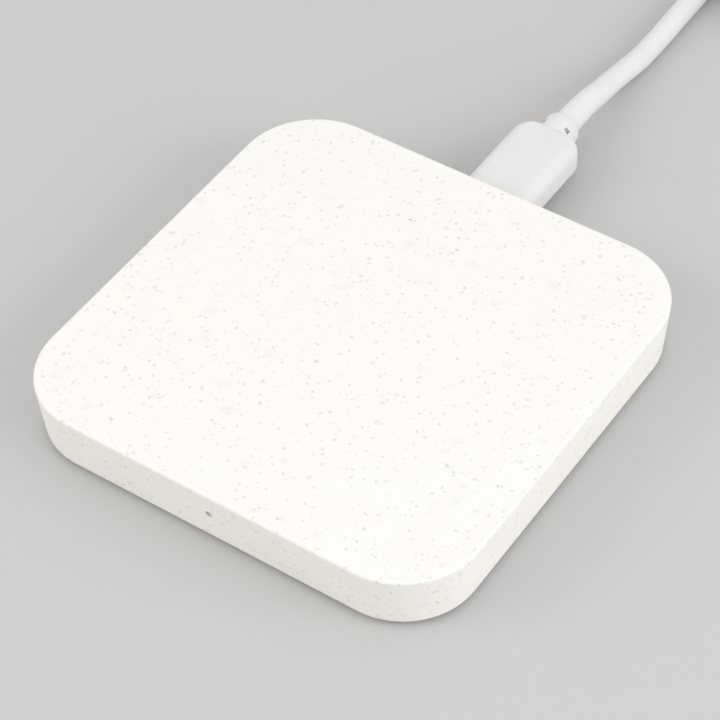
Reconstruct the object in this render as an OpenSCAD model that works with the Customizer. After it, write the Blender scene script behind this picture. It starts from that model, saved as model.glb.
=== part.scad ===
// Square wireless charging pad with rounded corners, a USB-C socket at the back and a
// status light at the front, and its cable with a USB-C plug and a USB-A plug.
// Millimetres. The origin is on the surface that the pad stands on, below its centre:
// +X is right, +Y points to the socket side, +Z is up.

/* [Case] */
// Width of the pad, left to right
pad_w = 70; // [66:1:90]
// Depth of the pad, front to back
pad_d = 70; // [69:1:90]
// Height of the case without its feet
case_h = 9.3; // [9.2:0.1:12]
// Radius of the case's corners, seen from above
corner_r = 11.8; // [9:0.1:15]
// How far each side leans in from its top to its bottom
draft_inset = 0.65; // [0.3:0.05:1]
// Radius of the round along the top edge
top_edge_r = 0.45; // [0.2:0.05:1]
// Radius of the round along the bottom edge
bottom_edge_r = 0.7; // [0.2:0.05:1]
// Thickness of the side walls at their foot
side_wall = 1.5; // [1.2:0.1:1.8]
// Thickness of the top wall
top_wall = 1.5; // [1.2:0.1:1.6]

/* [Base cover] */
// Thickness of the base cover
base_t = 1.2; // [1:0.1:1.4]
// How far the base cover sits above the case's lower edge
base_recess = 0.3; // [0.1:0.1:0.5]
// Gap all round between the base cover and the case
base_gap = 0.15; // [0.1:0.05:0.3]

/* [Feet] */
// Diameter of a foot
foot_d = 10; // [8:0.5:12]
// How far the feet stand below the case
foot_proud = 0.7; // [0.5:0.1:1]
// Depth of the recess that holds a foot
foot_seat = 0.4; // [0.2:0.1:0.6]
// Gap round a foot in its recess
foot_gap = 0.1; // [0.05:0.05:0.3]

/* [Screws] */
// Distance from the case's sides to each screw
screw_inset = 11; // [10:0.5:12]
// Diameter of the screw's shank
screw_d = 2; // [1.6:0.2:2.4]
// Length of the shank under the head
screw_l = 4.5; // [3.5:0.5:5]
// Diameter of the screw's head
screw_head_d = 3.8; // [3.2:0.1:4.2]
// Height of the screw's head
screw_head_h = 1.3; // [1:0.1:1.5]
// Wall round each screw hole
boss_wall = 1.5; // [1.2:0.1:1.8]
// Radial gap round the shank in the boss that it bites into
thread_gap = 0.02; // [0.01:0.01:0.1]
// Gap between the two halves of a screw boss
boss_gap = 0.1; // [0.05:0.05:0.3]

/* [Charging coil] */
// Diameter of the wound wire
wire_d = 1.1; // [0.8:0.1:1.2]
// Number of turns of the coil
coil_turns = 10; // [8:1:12]
// Diameter of the hole in the middle of the coil
coil_hole_d = 21; // [18:1:22]
// Diameter of the ferrite disc
ferrite_d = 50; // [46:1:51]
// Thickness of the ferrite disc
ferrite_t = 1; // [0.6:0.1:1.1]
// Thickness of the tape that holds the coil to the top wall
tape_t = 0.15; // [0.1:0.05:0.2]
// Thickness of the glue film between coil and ferrite
bond_t = 0.1; // [0.05:0.05:0.2]

/* [Circuit board] */
// Width of the board
board_w = 40; // [34:1:41]
// Thickness of the board
board_t = 0.8; // [0.6:0.1:1]
// Height of the pads that the board rests on
board_lift = 0.27; // [0.2:0.01:0.4]
// Gap between the board's ends and the case
board_gap = 0.8; // [0.5:0.1:1.2]
// Diameter of the pegs that hold the board
peg_d = 1.6; // [1.2:0.1:2]
// Gap round a peg in the board
peg_gap = 0.1; // [0.05:0.05:0.2]

/* [Status light] */
// Height of the light hole above the case's lower edge
light_z = 5.1; // [4.8:0.1:6]
// Diameter of the light hole
light_hole_d = 1.1; // [0.8:0.1:1.4]
// Gap round the light pipe in its hole
light_gap = 0.05; // [0.03:0.01:0.1]
// How far the light pipe's tip sits behind the case's face
light_recess = 0.7; // [0.4:0.1:1]

/* [USB-C socket and plug] */
// Width of the socket's shell
socket_w = 8.94; // [8.94:0.01:9.1]
// Height of the socket's shell
socket_h = 3.26; // [3.16:0.01:3.4]
// Depth of the socket's shell
socket_l = 7.35; // [7.35:0.05:8]
// Width of the socket's mouth
mouth_w = 8.34; // [8.34:0.01:8.4]
// Height of the socket's mouth
mouth_h = 2.56; // [2.56:0.01:2.6]
// How far the mouth sits in from the pad's back
socket_recess = 0.8; // [0.7:0.1:1]
// Gap round the socket in the case
socket_gap = 0.15; // [0.1:0.05:0.3]
// Width of the plug's shell
plug_w = 8.25; // [8.2:0.01:8.28]
// Height of the plug's shell
plug_h = 2.4; // [2.36:0.01:2.44]
// Length of the plug's shell
plug_l = 6.65; // [6.6:0.01:6.7]
// Thickness of the plug's shell
plug_shell_t = 0.2; // [0.15:0.05:0.25]
// Gap between the plug's grip and the pad
grip_gap = 0.1; // [0.1:0.05:0.5]
// Width of the plug's grip
grip_w = 11; // [10:0.1:12]
// Thickness of the plug's grip
grip_h = 6; // [5:0.1:7]
// Length of the plug's grip
grip_l = 17.5; // [15:0.1:22]
// Radius of the grip's outer corners, seen from above
grip_corner_r = 2.8; // [2:0.1:4.5]
// Radius of the long edges of the grip
grip_edge_r = 2; // [1:0.1:2.4]
// Diameter of the strain relief where it leaves the grip
relief_d = 5.7; // [5:0.1:7]
// Diameter of the strain relief at its tip
relief_tip_d = 4.4; // [4.2:0.1:5]
// Length of the strain relief
relief_l = 3.8; // [3:0.1:5]
// How far beside the plug's middle the strain relief and the cord sit
relief_x = -0.2; // [-0.5:0.1:0.5]

/* [Cord] */
// Diameter of the cord
cord_d = 3.6; // [3:0.1:4]
// Gap between two turns of the coiled cord
cord_gap = 0.1; // [0.05:0.05:0.5]
// Radius of the outermost turn
cord_outer_turn_r = 25; // [24:0.5:28]
// Number of turns side by side in one layer
cord_columns = 3; // [3:1:4]
// Number of layers
cord_layers = 2; // [2:1:3]
// Thickness of the strap that ties the coil
tie_t = 0.5; // [0.3:0.1:1]
// Width of the strap
tie_w = 6; // [5:1:10]

/* [USB-A plug] */
// Width of the grip
agrip_w = 15.6; // [14:0.2:17]
// Thickness of the grip
agrip_h = 8; // [7:0.2:9]
// Length of the grip
agrip_l = 22; // [18:1:26]
// Radius of the long edges of the grip
agrip_edge_r = 2.4; // [1:0.1:3]
// Length of the strain relief
arelief_l = 8; // [6:1:10]
// Diameter of the strain relief where it leaves the grip
arelief_d = 6; // [5:0.1:7]
// Diameter of the strain relief at its tip
arelief_tip_d = 4.8; // [4.2:0.1:5]
// Width of the metal shell
ashell_w = 12; // [11.9:0.1:12.1]
// Height of the metal shell
ashell_h = 4.5; // [4.4:0.1:4.6]
// Length of the metal shell
ashell_l = 12; // [11.75:0.25:12.5]
// Thickness of the metal shell
ashell_t = 0.3; // [0.2:0.1:0.4]

/* [Hidden] */
$fn = 96;

wheat_white = [0.95, 0.94, 0.91];
grip_white = [0.93, 0.93, 0.93];
steel = [0.75, 0.76, 0.78];
gold = [0.85, 0.68, 0.30];
black_plastic = [0.12, 0.12, 0.13];
joint_overlap = 0.01; // lets pieces of one solid run into each other

// Heights, from the surface that the pad stands on
z_case = foot_proud;
z_top = z_case + case_h;
z_ceiling = z_top - top_wall;
z_base = z_case + base_recess;
z_base_in = z_base + base_t;
z_foot_seat = z_base + foot_seat;
z_board = z_base_in + board_lift;
z_board_top = z_board + board_t;
z_usb = z_board_top + socket_h / 2;
z_light = z_case + light_z;
z_coil_top = z_ceiling - tape_t;
z_coil = z_coil_top - wire_d;
z_bond = z_coil - bond_t;
z_ferrite = z_bond - ferrite_t;

// The room inside the case
room_w = pad_w - 2 * (draft_inset + side_wall);
room_d = pad_d - 2 * (draft_inset + side_wall);
room_r = corner_r - draft_inset - side_wall;

// Half the pad's depth at height z
function half_depth(z) = pad_d / 2 - draft_inset * (1 - (z - z_case) / case_h);

// Screws and feet share their places
corner_x = pad_w / 2 - screw_inset;
corner_y = pad_d / 2 - screw_inset;
screw_top_gap = 0.2; // between a foot and the screw's head
screw_seat_z = z_foot_seat + screw_top_gap + screw_head_h;
head_gap = 0.2; // round the screw's head
floor_under_head = 1;
cup_top_z = screw_seat_z + floor_under_head;
cup_wall = 1.1;
cup_d = screw_head_d + 2 * (head_gap + cup_wall);
screw_hole_d = screw_d + 0.4; // in the base cover
screw_end_gap = 0.6; // beyond the screw's point
screw_point_l = 0.8;
boss_d = screw_d + 2 * boss_wall;

// Coil
coil_pitch = wire_d * 0.98; // neighbouring turns are bonded together
coil_inner_r = coil_hole_d / 2;
coil_outer_r = coil_inner_r + wire_d + (coil_turns - 1) * coil_pitch;
stack_r = max(ferrite_d / 2, coil_outer_r); // whichever of disc and coil is wider
lead_x = [-6.5, -9]; // where the wire's two ends come down
lead_way = 1.14; // from the outer end of the wire to a rib
locator_gap = 0.3;
locator_t = 0.8;
locator_r = stack_r + locator_gap;
locator_turn = 90 - 2 * asin((wire_d / 2 + lead_way - lead_x[1]) / locator_r);

// Board
board_front_y = -(room_d / 2 - board_gap);
board_rear_y = room_d / 2 - board_gap;
board_l = board_rear_y - board_front_y;
peg_x = board_w / 2 - 2.5;
peg_y = board_l / 2 - 4;
peg_head_d = peg_d + 1.2;
peg_head_h = 0.5;
peg_foot_d = peg_d + 2.4;
lead_y = -(stack_r + 1.3);

// Light
led_h = 0.6;
led_y = board_front_y + 2.4;
pipe_d = light_hole_d - 2 * light_gap;
pipe_block = 1.6;
sleeve_wall = 0.7;
sleeve_l = 1;

// Socket and plug
mouth_y = pad_d / 2 - socket_recess;
socket_back_y = mouth_y - socket_l;
grip_y = pad_d / 2 + grip_gap;
plug_tip_y = grip_y - plug_l;
grip_end_y = grip_y + grip_l;
relief_end_y = grip_end_y + relief_l;
tongue_w = 6.7;
tongue_h = 0.7;
tongue_back_t = 0.9;
tongue_tip_y = mouth_y - 1;
contact_t = 0.06;
contact_w = 0.25;
contact_pitch = 0.5;
contact_count = 12;
plug_slot_w = tongue_w + 0.3;
plug_slot_h = 1.3;
plug_slot_l = 5.4;
plug_contact_t = 0.12;

// Coiled cord: it lies on its tie's strap, on the surface that the pad stands on
cord_pitch = cord_d + cord_gap;
bundle_w = cord_columns * cord_pitch;
bundle_h = cord_layers * cord_pitch;
bundle_outer_r = cord_outer_turn_r + cord_pitch / 2;
bundle_inner_r = bundle_outer_r - bundle_w;
coil_x = cord_outer_turn_r + 0.3;
coil_from_relief = 63.6;
coil_y = relief_end_y + coil_from_relief;
tie_angle = -60;
// Where the cord's centre line, as it runs along y beside the coil, crosses the coil's outside
meet_l = sqrt(pow(bundle_outer_r, 2) - pow(cord_outer_turn_r, 2));

// The second plug lies behind the coil and points right
aplug_x = 11;
aplug_y = coil_y + 36;
aplug_z = agrip_h / 2;

// The cord's route as [x, y, lift]: y from the end of the first plug's strain relief, and lift
// above a cord that lies on the surface. First to the coil, then from the coil to the other plug.
plug_lift = z_usb - cord_d / 2;
aplug_lift = aplug_z - cord_d / 2;
upper_turn_lift = tie_t + (cord_layers - 0.5) * cord_pitch - cord_d / 2;
lead_route = [
    [relief_x, 0, plug_lift], [relief_x, 2, plug_lift], [-0.2, 6.6, 2.8], [-0.1, 10.3, 2.2],
    [-0.2, 14.3, 1.4], [-0.2, 18.3, 0.6], [0, 22.3, 0.1], [0.1, 28, 0], [0, 36, 0], [0, 44, 0],
    [0.1, 49, 0.3], [0.3, coil_from_relief - meet_l, 0.5]];
tail_route = [
    [0.3, coil_from_relief + meet_l, upper_turn_lift], [0.3, 77.6, 3.7], [0.3, 82.6, 2],
    [0.3, 87.6, 0.6], [0.9, 92.6, 0.1], [3.2, 97.1, 0.3], [6, 99.1, 1.2], [9.5, 99.6, aplug_lift],
    [aplug_x, 99.6, aplug_lift]];
agrip_x = aplug_x + arelief_l;
ashell_x = agrip_x + agrip_l;

// Rounded rectangle, centred
module round_rect(w, d, r) {
    square([w - 2 * r, d], center = true);
    square([w, d - 2 * r], center = true);
    for (x = [-1, 1], y = [-1, 1])
        translate([x * (w / 2 - r), y * (d / 2 - r)]) circle(r);
}

// Rounded plate with its underside at z = 0
module round_plate(w, d, h, r) {
    linear_extrude(h) round_rect(w, d, r);
}

// Bar with an oval section that runs along +Y from y = 0, centred on x and z
module oval_bar(w, h, l) {
    rotate([-90, 0, 0]) linear_extrude(l) round_rect(w, h, h / 2 - 0.001);
}

// Points of a rounded corner of radius r about [x, z], from angle a to angle b
function arc(x, z, r, a, b, steps) =
    [for (i = [0:steps]) [x + r * cos(a + (b - a) * i / steps), z + r * sin(a + (b - a) * i / steps)]];

// Outline of the case's edge: x runs out from a corner's centre, y is height
lean = atan(draft_inset / case_h);
edge_steps = 6;
edge_outline = concat(
    [[0, z_case]],
    arc(corner_r - draft_inset - bottom_edge_r, z_case + bottom_edge_r, bottom_edge_r,
        -90, -lean, edge_steps),
    arc(corner_r - top_edge_r, z_top - top_edge_r, top_edge_r, -lean, 90, edge_steps),
    [[0, z_top]]);

// The case as one solid block: four corners, four edges and the middle
module case_block() {
    ax = pad_w / 2 - corner_r;
    ay = pad_d / 2 - corner_r;
    translate([-ax, -ay, z_case]) cube([2 * ax, 2 * ay, case_h]);
    for (side = [0, 1]) {
        mirror([side, 0, 0])
            translate([ax, ay, 0]) rotate([90, 0, 0]) linear_extrude(2 * ay) polygon(edge_outline);
        rotate([0, 0, side * 180])
            translate([ax, ay, 0]) rotate([90, 0, -90])
                mirror([1, 0, 0]) linear_extrude(2 * ax) polygon(edge_outline);
    }
    for (x = [-1, 1], y = [-1, 1])
        translate([x * ax, y * ay, 0]) rotate([0, 0, x > 0 ? (y > 0 ? 0 : 270) : (y > 0 ? 90 : 180)])
            rotate_extrude(angle = 90) polygon(edge_outline);
}

module at_corners() {
    for (x = [-1, 1], y = [-1, 1])
        translate([x * corner_x, y * corner_y, 0]) children();
}

module top_cover() {
    color(wheat_white) difference() {
        union() {
            difference() {
                case_block();
                translate([0, 0, z_case - 1]) round_plate(room_w, room_d, z_ceiling - z_case + 1, room_r);
            }
            // screw bosses
            at_corners() translate([0, 0, cup_top_z + boss_gap])
                cylinder(h = z_ceiling - cup_top_z - boss_gap + joint_overlap, d = boss_d);
            // ribs that centre the coil and its ferrite
            for (a = [45:90:315])
                rotate([0, 0, a - locator_turn / 2]) translate([0, 0, z_ferrite])
                    rotate_extrude(angle = locator_turn) translate([locator_r, 0])
                        square([locator_t, z_ceiling - z_ferrite + joint_overlap]);
            // sleeve round the light pipe
            translate([0, -room_d / 2 - joint_overlap, z_light]) rotate([-90, 0, 0])
                cylinder(h = sleeve_l + joint_overlap, d = light_hole_d + 2 * sleeve_wall);
        }
        at_corners() translate([0, 0, cup_top_z])
            cylinder(h = screw_l - floor_under_head + screw_end_gap, d = screw_d + 2 * thread_gap);
        translate([0, -pad_d / 2 - 1, z_light]) rotate([-90, 0, 0])
            cylinder(h = 1 + (pad_d - room_d) / 2 + 2 * sleeve_l, d = light_hole_d);
        translate([0, room_d / 2 - 1, z_usb])
            oval_bar(socket_w + 2 * socket_gap, socket_h + 2 * socket_gap, 6);
    }
}

module base_cover() {
    plate_r = room_r - base_gap;
    color(wheat_white) difference() {
        union() {
            translate([0, 0, z_base])
                round_plate(room_w - 2 * base_gap, room_d - 2 * base_gap, base_t, plate_r);
            at_corners() translate([0, 0, z_base]) cylinder(h = cup_top_z - z_base, d = cup_d);
            // pegs with staked heads, and the pads that carry the board
            for (x = [-1, 1], y = [-1, 1]) translate([x * peg_x, y * peg_y, z_base]) {
                cylinder(h = base_t + board_lift, d = peg_foot_d);
                cylinder(h = z_board_top - z_base + peg_head_h, d = peg_d);
                translate([0, 0, z_board_top - z_base]) cylinder(h = peg_head_h, d = peg_head_d);
            }
        }
        at_corners() {
            translate([0, 0, z_base - 1]) cylinder(h = 1 + foot_seat, d = foot_d + 2 * foot_gap);
            translate([0, 0, z_base]) cylinder(h = screw_seat_z - z_base, d = screw_head_d + 2 * head_gap);
            translate([0, 0, z_base]) cylinder(h = cup_top_z, d = screw_hole_d);
        }
    }
}

module base_screws() {
    cross_w = 0.6;
    cross_l = 2.2;
    color(steel) at_corners() difference() {
        union() {
            translate([0, 0, screw_seat_z - screw_head_h]) cylinder(h = screw_head_h, d = screw_head_d);
            translate([0, 0, screw_seat_z]) cylinder(h = screw_l - screw_point_l, d = screw_d);
            translate([0, 0, screw_seat_z + screw_l - screw_point_l])
                cylinder(h = screw_point_l, d1 = screw_d, d2 = 0.8);
        }
        translate([0, 0, screw_seat_z - screw_head_h]) for (a = [0, 90])
            rotate([0, 0, a]) cube([cross_l, cross_w, 1.4], center = true);
    }
}

// One foot, with a rounded lower edge
module foot(x, y) {
    r = foot_d / 2;
    edge = 0.3;
    color([0.82, 0.82, 0.80]) translate([x * corner_x, y * corner_y, 0]) rotate_extrude()
        polygon(concat(
            [[0, 0]],
            arc(r - edge, edge, edge, -90, 0, 4),
            [[r, z_foot_seat], [0, z_foot_seat]]));
}
module foot_front_left() foot(-1, -1);
module foot_front_right() foot(1, -1);
module foot_rear_left() foot(-1, 1);
module foot_rear_right() foot(1, 1);

module coil_tape() {
    color([0.95, 0.85, 0.55]) translate([0, 0, z_coil_top]) difference() {
        cylinder(h = tape_t, r = coil_outer_r);
        translate([0, 0, -1]) cylinder(h = tape_t + 2, r = coil_inner_r);
    }
}

// The winding, and the two ends of its wire that come down to the board
module charging_coil() {
    z_wire = z_coil + wire_d / 2;
    color([0.72, 0.38, 0.18]) {
        translate([0, 0, z_wire]) rotate_extrude() for (i = [0:coil_turns - 1])
            translate([coil_inner_r + wire_d / 2 + i * coil_pitch, 0]) circle(d = wire_d, $fn = 48);
        for (x = lead_x) {
            start_y = -sqrt(pow(coil_outer_r - wire_d / 2, 2) - x * x);
            translate([x, lead_y, z_wire]) rotate([-90, 0, 0]) cylinder(h = start_y - lead_y, d = wire_d);
            translate([x, lead_y, z_wire]) sphere(d = wire_d);
            translate([x, lead_y, z_board_top]) cylinder(h = z_wire - z_board_top, d = wire_d);
        }
    }
}

module coil_bond() {
    color([0.9, 0.9, 0.85]) translate([0, 0, z_bond]) difference() {
        cylinder(h = bond_t, r = coil_outer_r - 0.5);
        translate([0, 0, -1]) cylinder(h = bond_t + 2, r = coil_inner_r + 0.5);
    }
}

module ferrite_disc() {
    color([0.2, 0.2, 0.21]) translate([0, 0, z_ferrite]) cylinder(h = ferrite_t, d = ferrite_d);
}

module circuit_board() {
    board_corner_r = 2;
    color([0.10, 0.38, 0.22]) translate([0, 0, z_board]) difference() {
        translate([0, (board_front_y + board_rear_y) / 2, 0])
            round_plate(board_w, board_l, board_t, board_corner_r);
        for (x = [-1, 1], y = [-1, 1])
            translate([x * peg_x, y * peg_y, -1]) cylinder(h = board_t + 2, d = peg_d + 2 * peg_gap);
    }
}

// Small component on the board: a body with a metal cap at each end, along x or turned
module chip_part(x, y, l, w, h, turn = 0) {
    translate([x, y, z_board_top]) rotate([0, 0, turn]) {
        translate([-l / 2, -w / 2, 0]) cube([l, w, h]);
        cap = l / 5;
        for (side = [-1, 1])
            translate([side * (l / 2 + 0.03 - cap / 2), 0, (h + 0.04) / 2])
                cube([cap, w + 0.06, h + 0.04], center = true);
    }
}

module control_chip() {
    size = 5;
    lead_n = 8;
    color(black_plastic) translate([0, 6, z_board_top]) {
        translate([-size / 2, -size / 2, 0.05]) cube([size, size, 0.8]);
        for (a = [0:90:270], i = [0:lead_n - 1])
            rotate([0, 0, a]) translate([size / 2 - 0.35, (i - (lead_n - 1) / 2) * 0.5 - 0.12, 0])
                cube([0.4, 0.24, 0.2]);
    }
}

// Two eight-legged bridge chips
module bridge_chips() {
    color(black_plastic) for (x = [-9, 9]) translate([x, -4, z_board_top]) {
        translate([-1.95, -2.45, 0.1]) cube([3.9, 4.9, 1.4]);
        for (side = [0, 180], i = [0:3]) rotate([0, 0, side])
            translate([0, (i - 1.5) * 1.27 - 0.2, 0]) {
                translate([1.85, 0, 0.65]) cube([0.55, 0.4, 0.2]);
                translate([2.2, 0, 0]) cube([0.2, 0.4, 0.85]);
                translate([2.2, 0, 0]) cube([0.85, 0.4, 0.2]);
            }
    }
}

module resonant_capacitors() {
    color([0.72, 0.60, 0.42]) for (i = [0:3]) chip_part(-13.5 + i * 4.2, -19, 3.2, 2.5, 1.8, 90);
}

module chip_capacitors() {
    color([0.66, 0.55, 0.40]) {
        for (i = [0:3]) chip_part(-6 + i * 4, 12, 1.6, 0.8, 0.8, 90);
        for (i = [0:3]) chip_part(-15, -2 + i * 2.6, 2, 1.25, 1.1);
    }
}

module chip_resistors() {
    color([0.10, 0.10, 0.11]) {
        for (i = [0:3]) chip_part(6 + i * 2, 16, 1.6, 0.8, 0.45, 90);
        for (i = [0:3]) chip_part(15, -2 + i * 2.2, 1.6, 0.8, 0.45);
    }
}

module filter_inductor() {
    color([0.25, 0.25, 0.27]) translate([8, 21.5, z_board_top]) {
        translate([-2, -2, 0.1]) cube([4, 4, 1.8]);
        for (x = [-1.3, 1.3]) translate([x - 0.6, -2.2, 0]) cube([1.2, 4.4, 0.4]);
    }
}

module thermistor() {
    color([0.25, 0.20, 0.18]) chip_part(-6, 0, 1.6, 0.8, 0.6);
}

module status_led() {
    color([0.95, 0.95, 0.80]) chip_part(0, led_y, 1.6, 0.8, led_h);
}

// Rod that carries the light to the front, with a mirror face above the lamp
module light_pipe() {
    block_z = z_board_top + led_h + 0.15;
    tip_y = -(half_depth(z_light) - light_recess);
    mirror_y = led_y + pipe_block / 2;
    color([0.92, 0.94, 0.96]) difference() {
        union() {
            translate([-pipe_block / 2, led_y - pipe_block / 2, block_z])
                cube([pipe_block, pipe_block, z_light + pipe_block / 2 - block_z]);
            translate([0, tip_y, z_light]) rotate([-90, 0, 0]) cylinder(h = led_y - tip_y, d = pipe_d);
        }
        translate([0, mirror_y, z_light + pipe_block / 2]) rotate([45, 0, 0])
            cube([2 * pipe_block, 1.4, 1.4], center = true);
    }
}

module usb_c_socket_shell() {
    tab_w = 0.7;
    color(steel) {
        translate([0, socket_back_y, z_usb]) difference() {
            oval_bar(socket_w, socket_h, socket_l);
            translate([0, -1, 0]) oval_bar(mouth_w, mouth_h, socket_l + 2);
        }
        for (x = [-1, 1], y = [1, 4.2])
            translate([x * (socket_w / 2 + tab_w / 2 - 0.15) - tab_w / 2, socket_back_y + y, z_board_top])
                cube([tab_w, 1.1, z_usb - z_board_top]);
    }
}

module usb_c_socket_tongue() {
    fit = 0.05;
    color(black_plastic) translate([0, socket_back_y, z_usb]) {
        oval_bar(mouth_w - fit, mouth_h - fit, tongue_back_t);
        translate([-tongue_w / 2, 0, -tongue_h / 2])
            cube([tongue_w, tongue_tip_y - socket_back_y, tongue_h]);
    }
}

// Flat contact strips: the rows lie above and below the middle plane
module contact_rows(y0, l, z_from, t) {
    for (side = [0, 1], i = [0:contact_count - 1])
        mirror([0, 0, side])
            translate([(i - (contact_count - 1) / 2) * contact_pitch - contact_w / 2, y0, z_from])
                cube([contact_w, l, t]);
}

module usb_c_socket_contacts() {
    strip_y = socket_back_y + tongue_back_t;
    tail_l = 0.9;
    color(gold) {
        translate([0, 0, z_usb])
            contact_rows(strip_y, tongue_tip_y - 0.6 - strip_y, tongue_h / 2, contact_t);
        for (i = [0:contact_count - 1])
            translate([(i - (contact_count - 1) / 2) * contact_pitch - contact_w / 2,
                       socket_back_y - tail_l, z_board_top])
                cube([contact_w, tail_l, 0.15]);
    }
}

module usb_c_plug_shell() {
    color(steel) translate([0, plug_tip_y, z_usb]) difference() {
        oval_bar(plug_w, plug_h, plug_l);
        translate([0, -1, 0]) oval_bar(plug_w - 2 * plug_shell_t, plug_h - 2 * plug_shell_t, plug_l + 2);
    }
}

module usb_c_plug_insulator() {
    fit = 0.02;
    color(black_plastic) translate([0, plug_tip_y, z_usb]) difference() {
        translate([0, 0.1, 0])
            oval_bar(plug_w - 2 * plug_shell_t - fit, plug_h - 2 * plug_shell_t - fit, plug_l - 0.1);
        translate([-plug_slot_w / 2, -1, -plug_slot_h / 2])
            cube([plug_slot_w, plug_slot_l + 1, plug_slot_h]);
    }
}

module usb_c_plug_contacts() {
    color(gold) translate([0, 0, z_usb])
        contact_rows(plug_tip_y + 0.8, plug_slot_l - 0.8, plug_slot_h / 2 - plug_contact_t, plug_contact_t);
}

module usb_c_grip() {
    front_r = 1;
    color(grip_white) translate([0, grip_y, z_usb]) intersection() {
        translate([0, 0, -grip_h]) linear_extrude(2 * grip_h) {
            translate([-grip_w / 2, front_r]) square([grip_w, grip_l - front_r - grip_corner_r]);
            translate([-grip_w / 2 + front_r, 0]) square([grip_w - 2 * front_r, grip_l - grip_corner_r]);
            translate([-grip_w / 2 + grip_corner_r, grip_l / 2])
                square([grip_w - 2 * grip_corner_r, grip_l / 2]);
            for (x = [-1, 1]) {
                translate([x * (grip_w / 2 - front_r), front_r]) circle(front_r);
                translate([x * (grip_w / 2 - grip_corner_r), grip_l - grip_corner_r]) circle(grip_corner_r);
            }
        }
        translate([0, -1, 0]) rotate([-90, 0, 0]) linear_extrude(grip_l + 2)
            round_rect(grip_w, grip_h, grip_edge_r);
    }
}

// Short collar behind the grip: a straight neck and a rounded shoulder, with four small notches
// that let it bend
module usb_c_relief() {
    shoulder_turn = 60;
    shoulder_r = (relief_d - relief_tip_d) / 2 / (1 - cos(shoulder_turn));
    neck_l = relief_l - shoulder_r * sin(shoulder_turn);
    notch = [0.9, 0.8];
    notch_y = 0.6;
    notch_floor_r = cord_d / 2 + 0.4;
    color(grip_white) translate([relief_x, grip_end_y, z_usb]) difference() {
        rotate([-90, 0, 0]) rotate_extrude() polygon(concat(
            [[0, 0], [relief_d / 2, 0]],
            arc(relief_d / 2 - shoulder_r, neck_l, shoulder_r, 0, shoulder_turn, 6),
            [[0, relief_l]]));
        for (a = [45:90:315])
            rotate([0, a, 0]) translate([-notch[0] / 2, notch_y, notch_floor_r])
                cube([notch[0], notch[1], relief_d]);
    }
}

// Tube with eight sides along a route. Each ring stands square to the route at its point.
cord_sides = 8;
function unit(v) = v / norm(v);
function heading(route, i) =
    unit(route[min(i + 1, len(route) - 1)] - route[max(i - 1, 0)]);
function ring(p, t, r) =
    let (side = unit(cross(t, [0, 0, 1])), up = cross(side, t))
    [for (k = [0:cord_sides - 1])
        p + r * (cos(k * 360 / cord_sides) * side + sin(k * 360 / cord_sides) * up)];
module tube(route, d) {
    n = len(route);
    last = (n - 1) * cord_sides;
    centres = [for (p = route) [p[0], relief_end_y + p[1], cord_d / 2 + p[2]]];
    points = [for (i = [0:n - 1]) each ring(centres[i], heading(centres, i), d / 2)];
    walls = [for (i = [0:n - 2], k = [0:cord_sides - 1])
        let (next = (k + 1) % cord_sides)
        [i * cord_sides + k, (i + 1) * cord_sides + k, (i + 1) * cord_sides + next, i * cord_sides + next]];
    ends = [[for (k = [0:cord_sides - 1]) k], [for (k = [cord_sides - 1:-1:0]) last + k]];
    polyhedron(points, concat(walls, ends));
}

module cord_lead() color(grip_white) tube(lead_route, cord_d);
module cord_tail() color(grip_white) tube(tail_route, cord_d);

// Section of the bundle of turns, grown by t all round, with its foot on the tie's strap
module bundle_section(t) {
    translate([(bundle_inner_r + bundle_outer_r) / 2, tie_t + bundle_h / 2])
        round_rect(bundle_w + 2 * t, bundle_h + 2 * t, cord_d / 2 + t);
}

module cord_coil() {
    color(grip_white) translate([coil_x, coil_y, 0]) rotate_extrude() bundle_section(0);
}

module cord_tie() {
    turn = tie_w / cord_outer_turn_r * 180 / PI;
    color([0.85, 0.85, 0.85]) translate([coil_x, coil_y, 0]) rotate([0, 0, tie_angle - turn / 2])
        rotate_extrude(angle = turn) difference() {
            bundle_section(tie_t);
            bundle_section(0);
        }
}

// Turns a piece that runs along +Y to run along +X from the plug's strain relief
module on_usb_a_axis(x) {
    translate([x, aplug_y, aplug_z]) rotate([0, 0, -90]) children();
}

module usb_a_relief() {
    grooves = 3;
    color(grip_white) on_usb_a_axis(aplug_x) rotate([-90, 0, 0]) difference() {
        cylinder(h = arelief_l, d1 = arelief_tip_d, d2 = arelief_d);
        for (i = [0:grooves - 1]) translate([0, 0, 1.4 + i * 2.1]) difference() {
            cylinder(h = 0.8, d = 2 * arelief_d);
            translate([0, 0, -1]) cylinder(h = 3, d = cord_d + 0.5);
        }
    }
}

module usb_a_grip() {
    plan_r = 2.5;
    color(grip_white) on_usb_a_axis(agrip_x) intersection() {
        translate([0, agrip_l / 2, -agrip_h]) linear_extrude(2 * agrip_h)
            round_rect(agrip_w, agrip_l, plan_r);
        translate([0, -1, 0]) rotate([-90, 0, 0]) linear_extrude(agrip_l + 2)
            round_rect(agrip_w, agrip_h, agrip_edge_r);
    }
}

module usb_a_shell() {
    window = [2.2, 2.2];
    color(steel) on_usb_a_axis(ashell_x) difference() {
        rotate([-90, 0, 0]) linear_extrude(ashell_l) round_rect(ashell_w, ashell_h, 0.5);
        translate([0, -1, 0]) rotate([-90, 0, 0]) linear_extrude(ashell_l + 2)
            round_rect(ashell_w - 2 * ashell_t, ashell_h - 2 * ashell_t, 0.3);
        for (x = [-1, 1])
            translate([x * 3 - window[0] / 2, 5.5, -ashell_h])
                cube([window[0], window[1], 2 * ashell_h]);
    }
}

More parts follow.
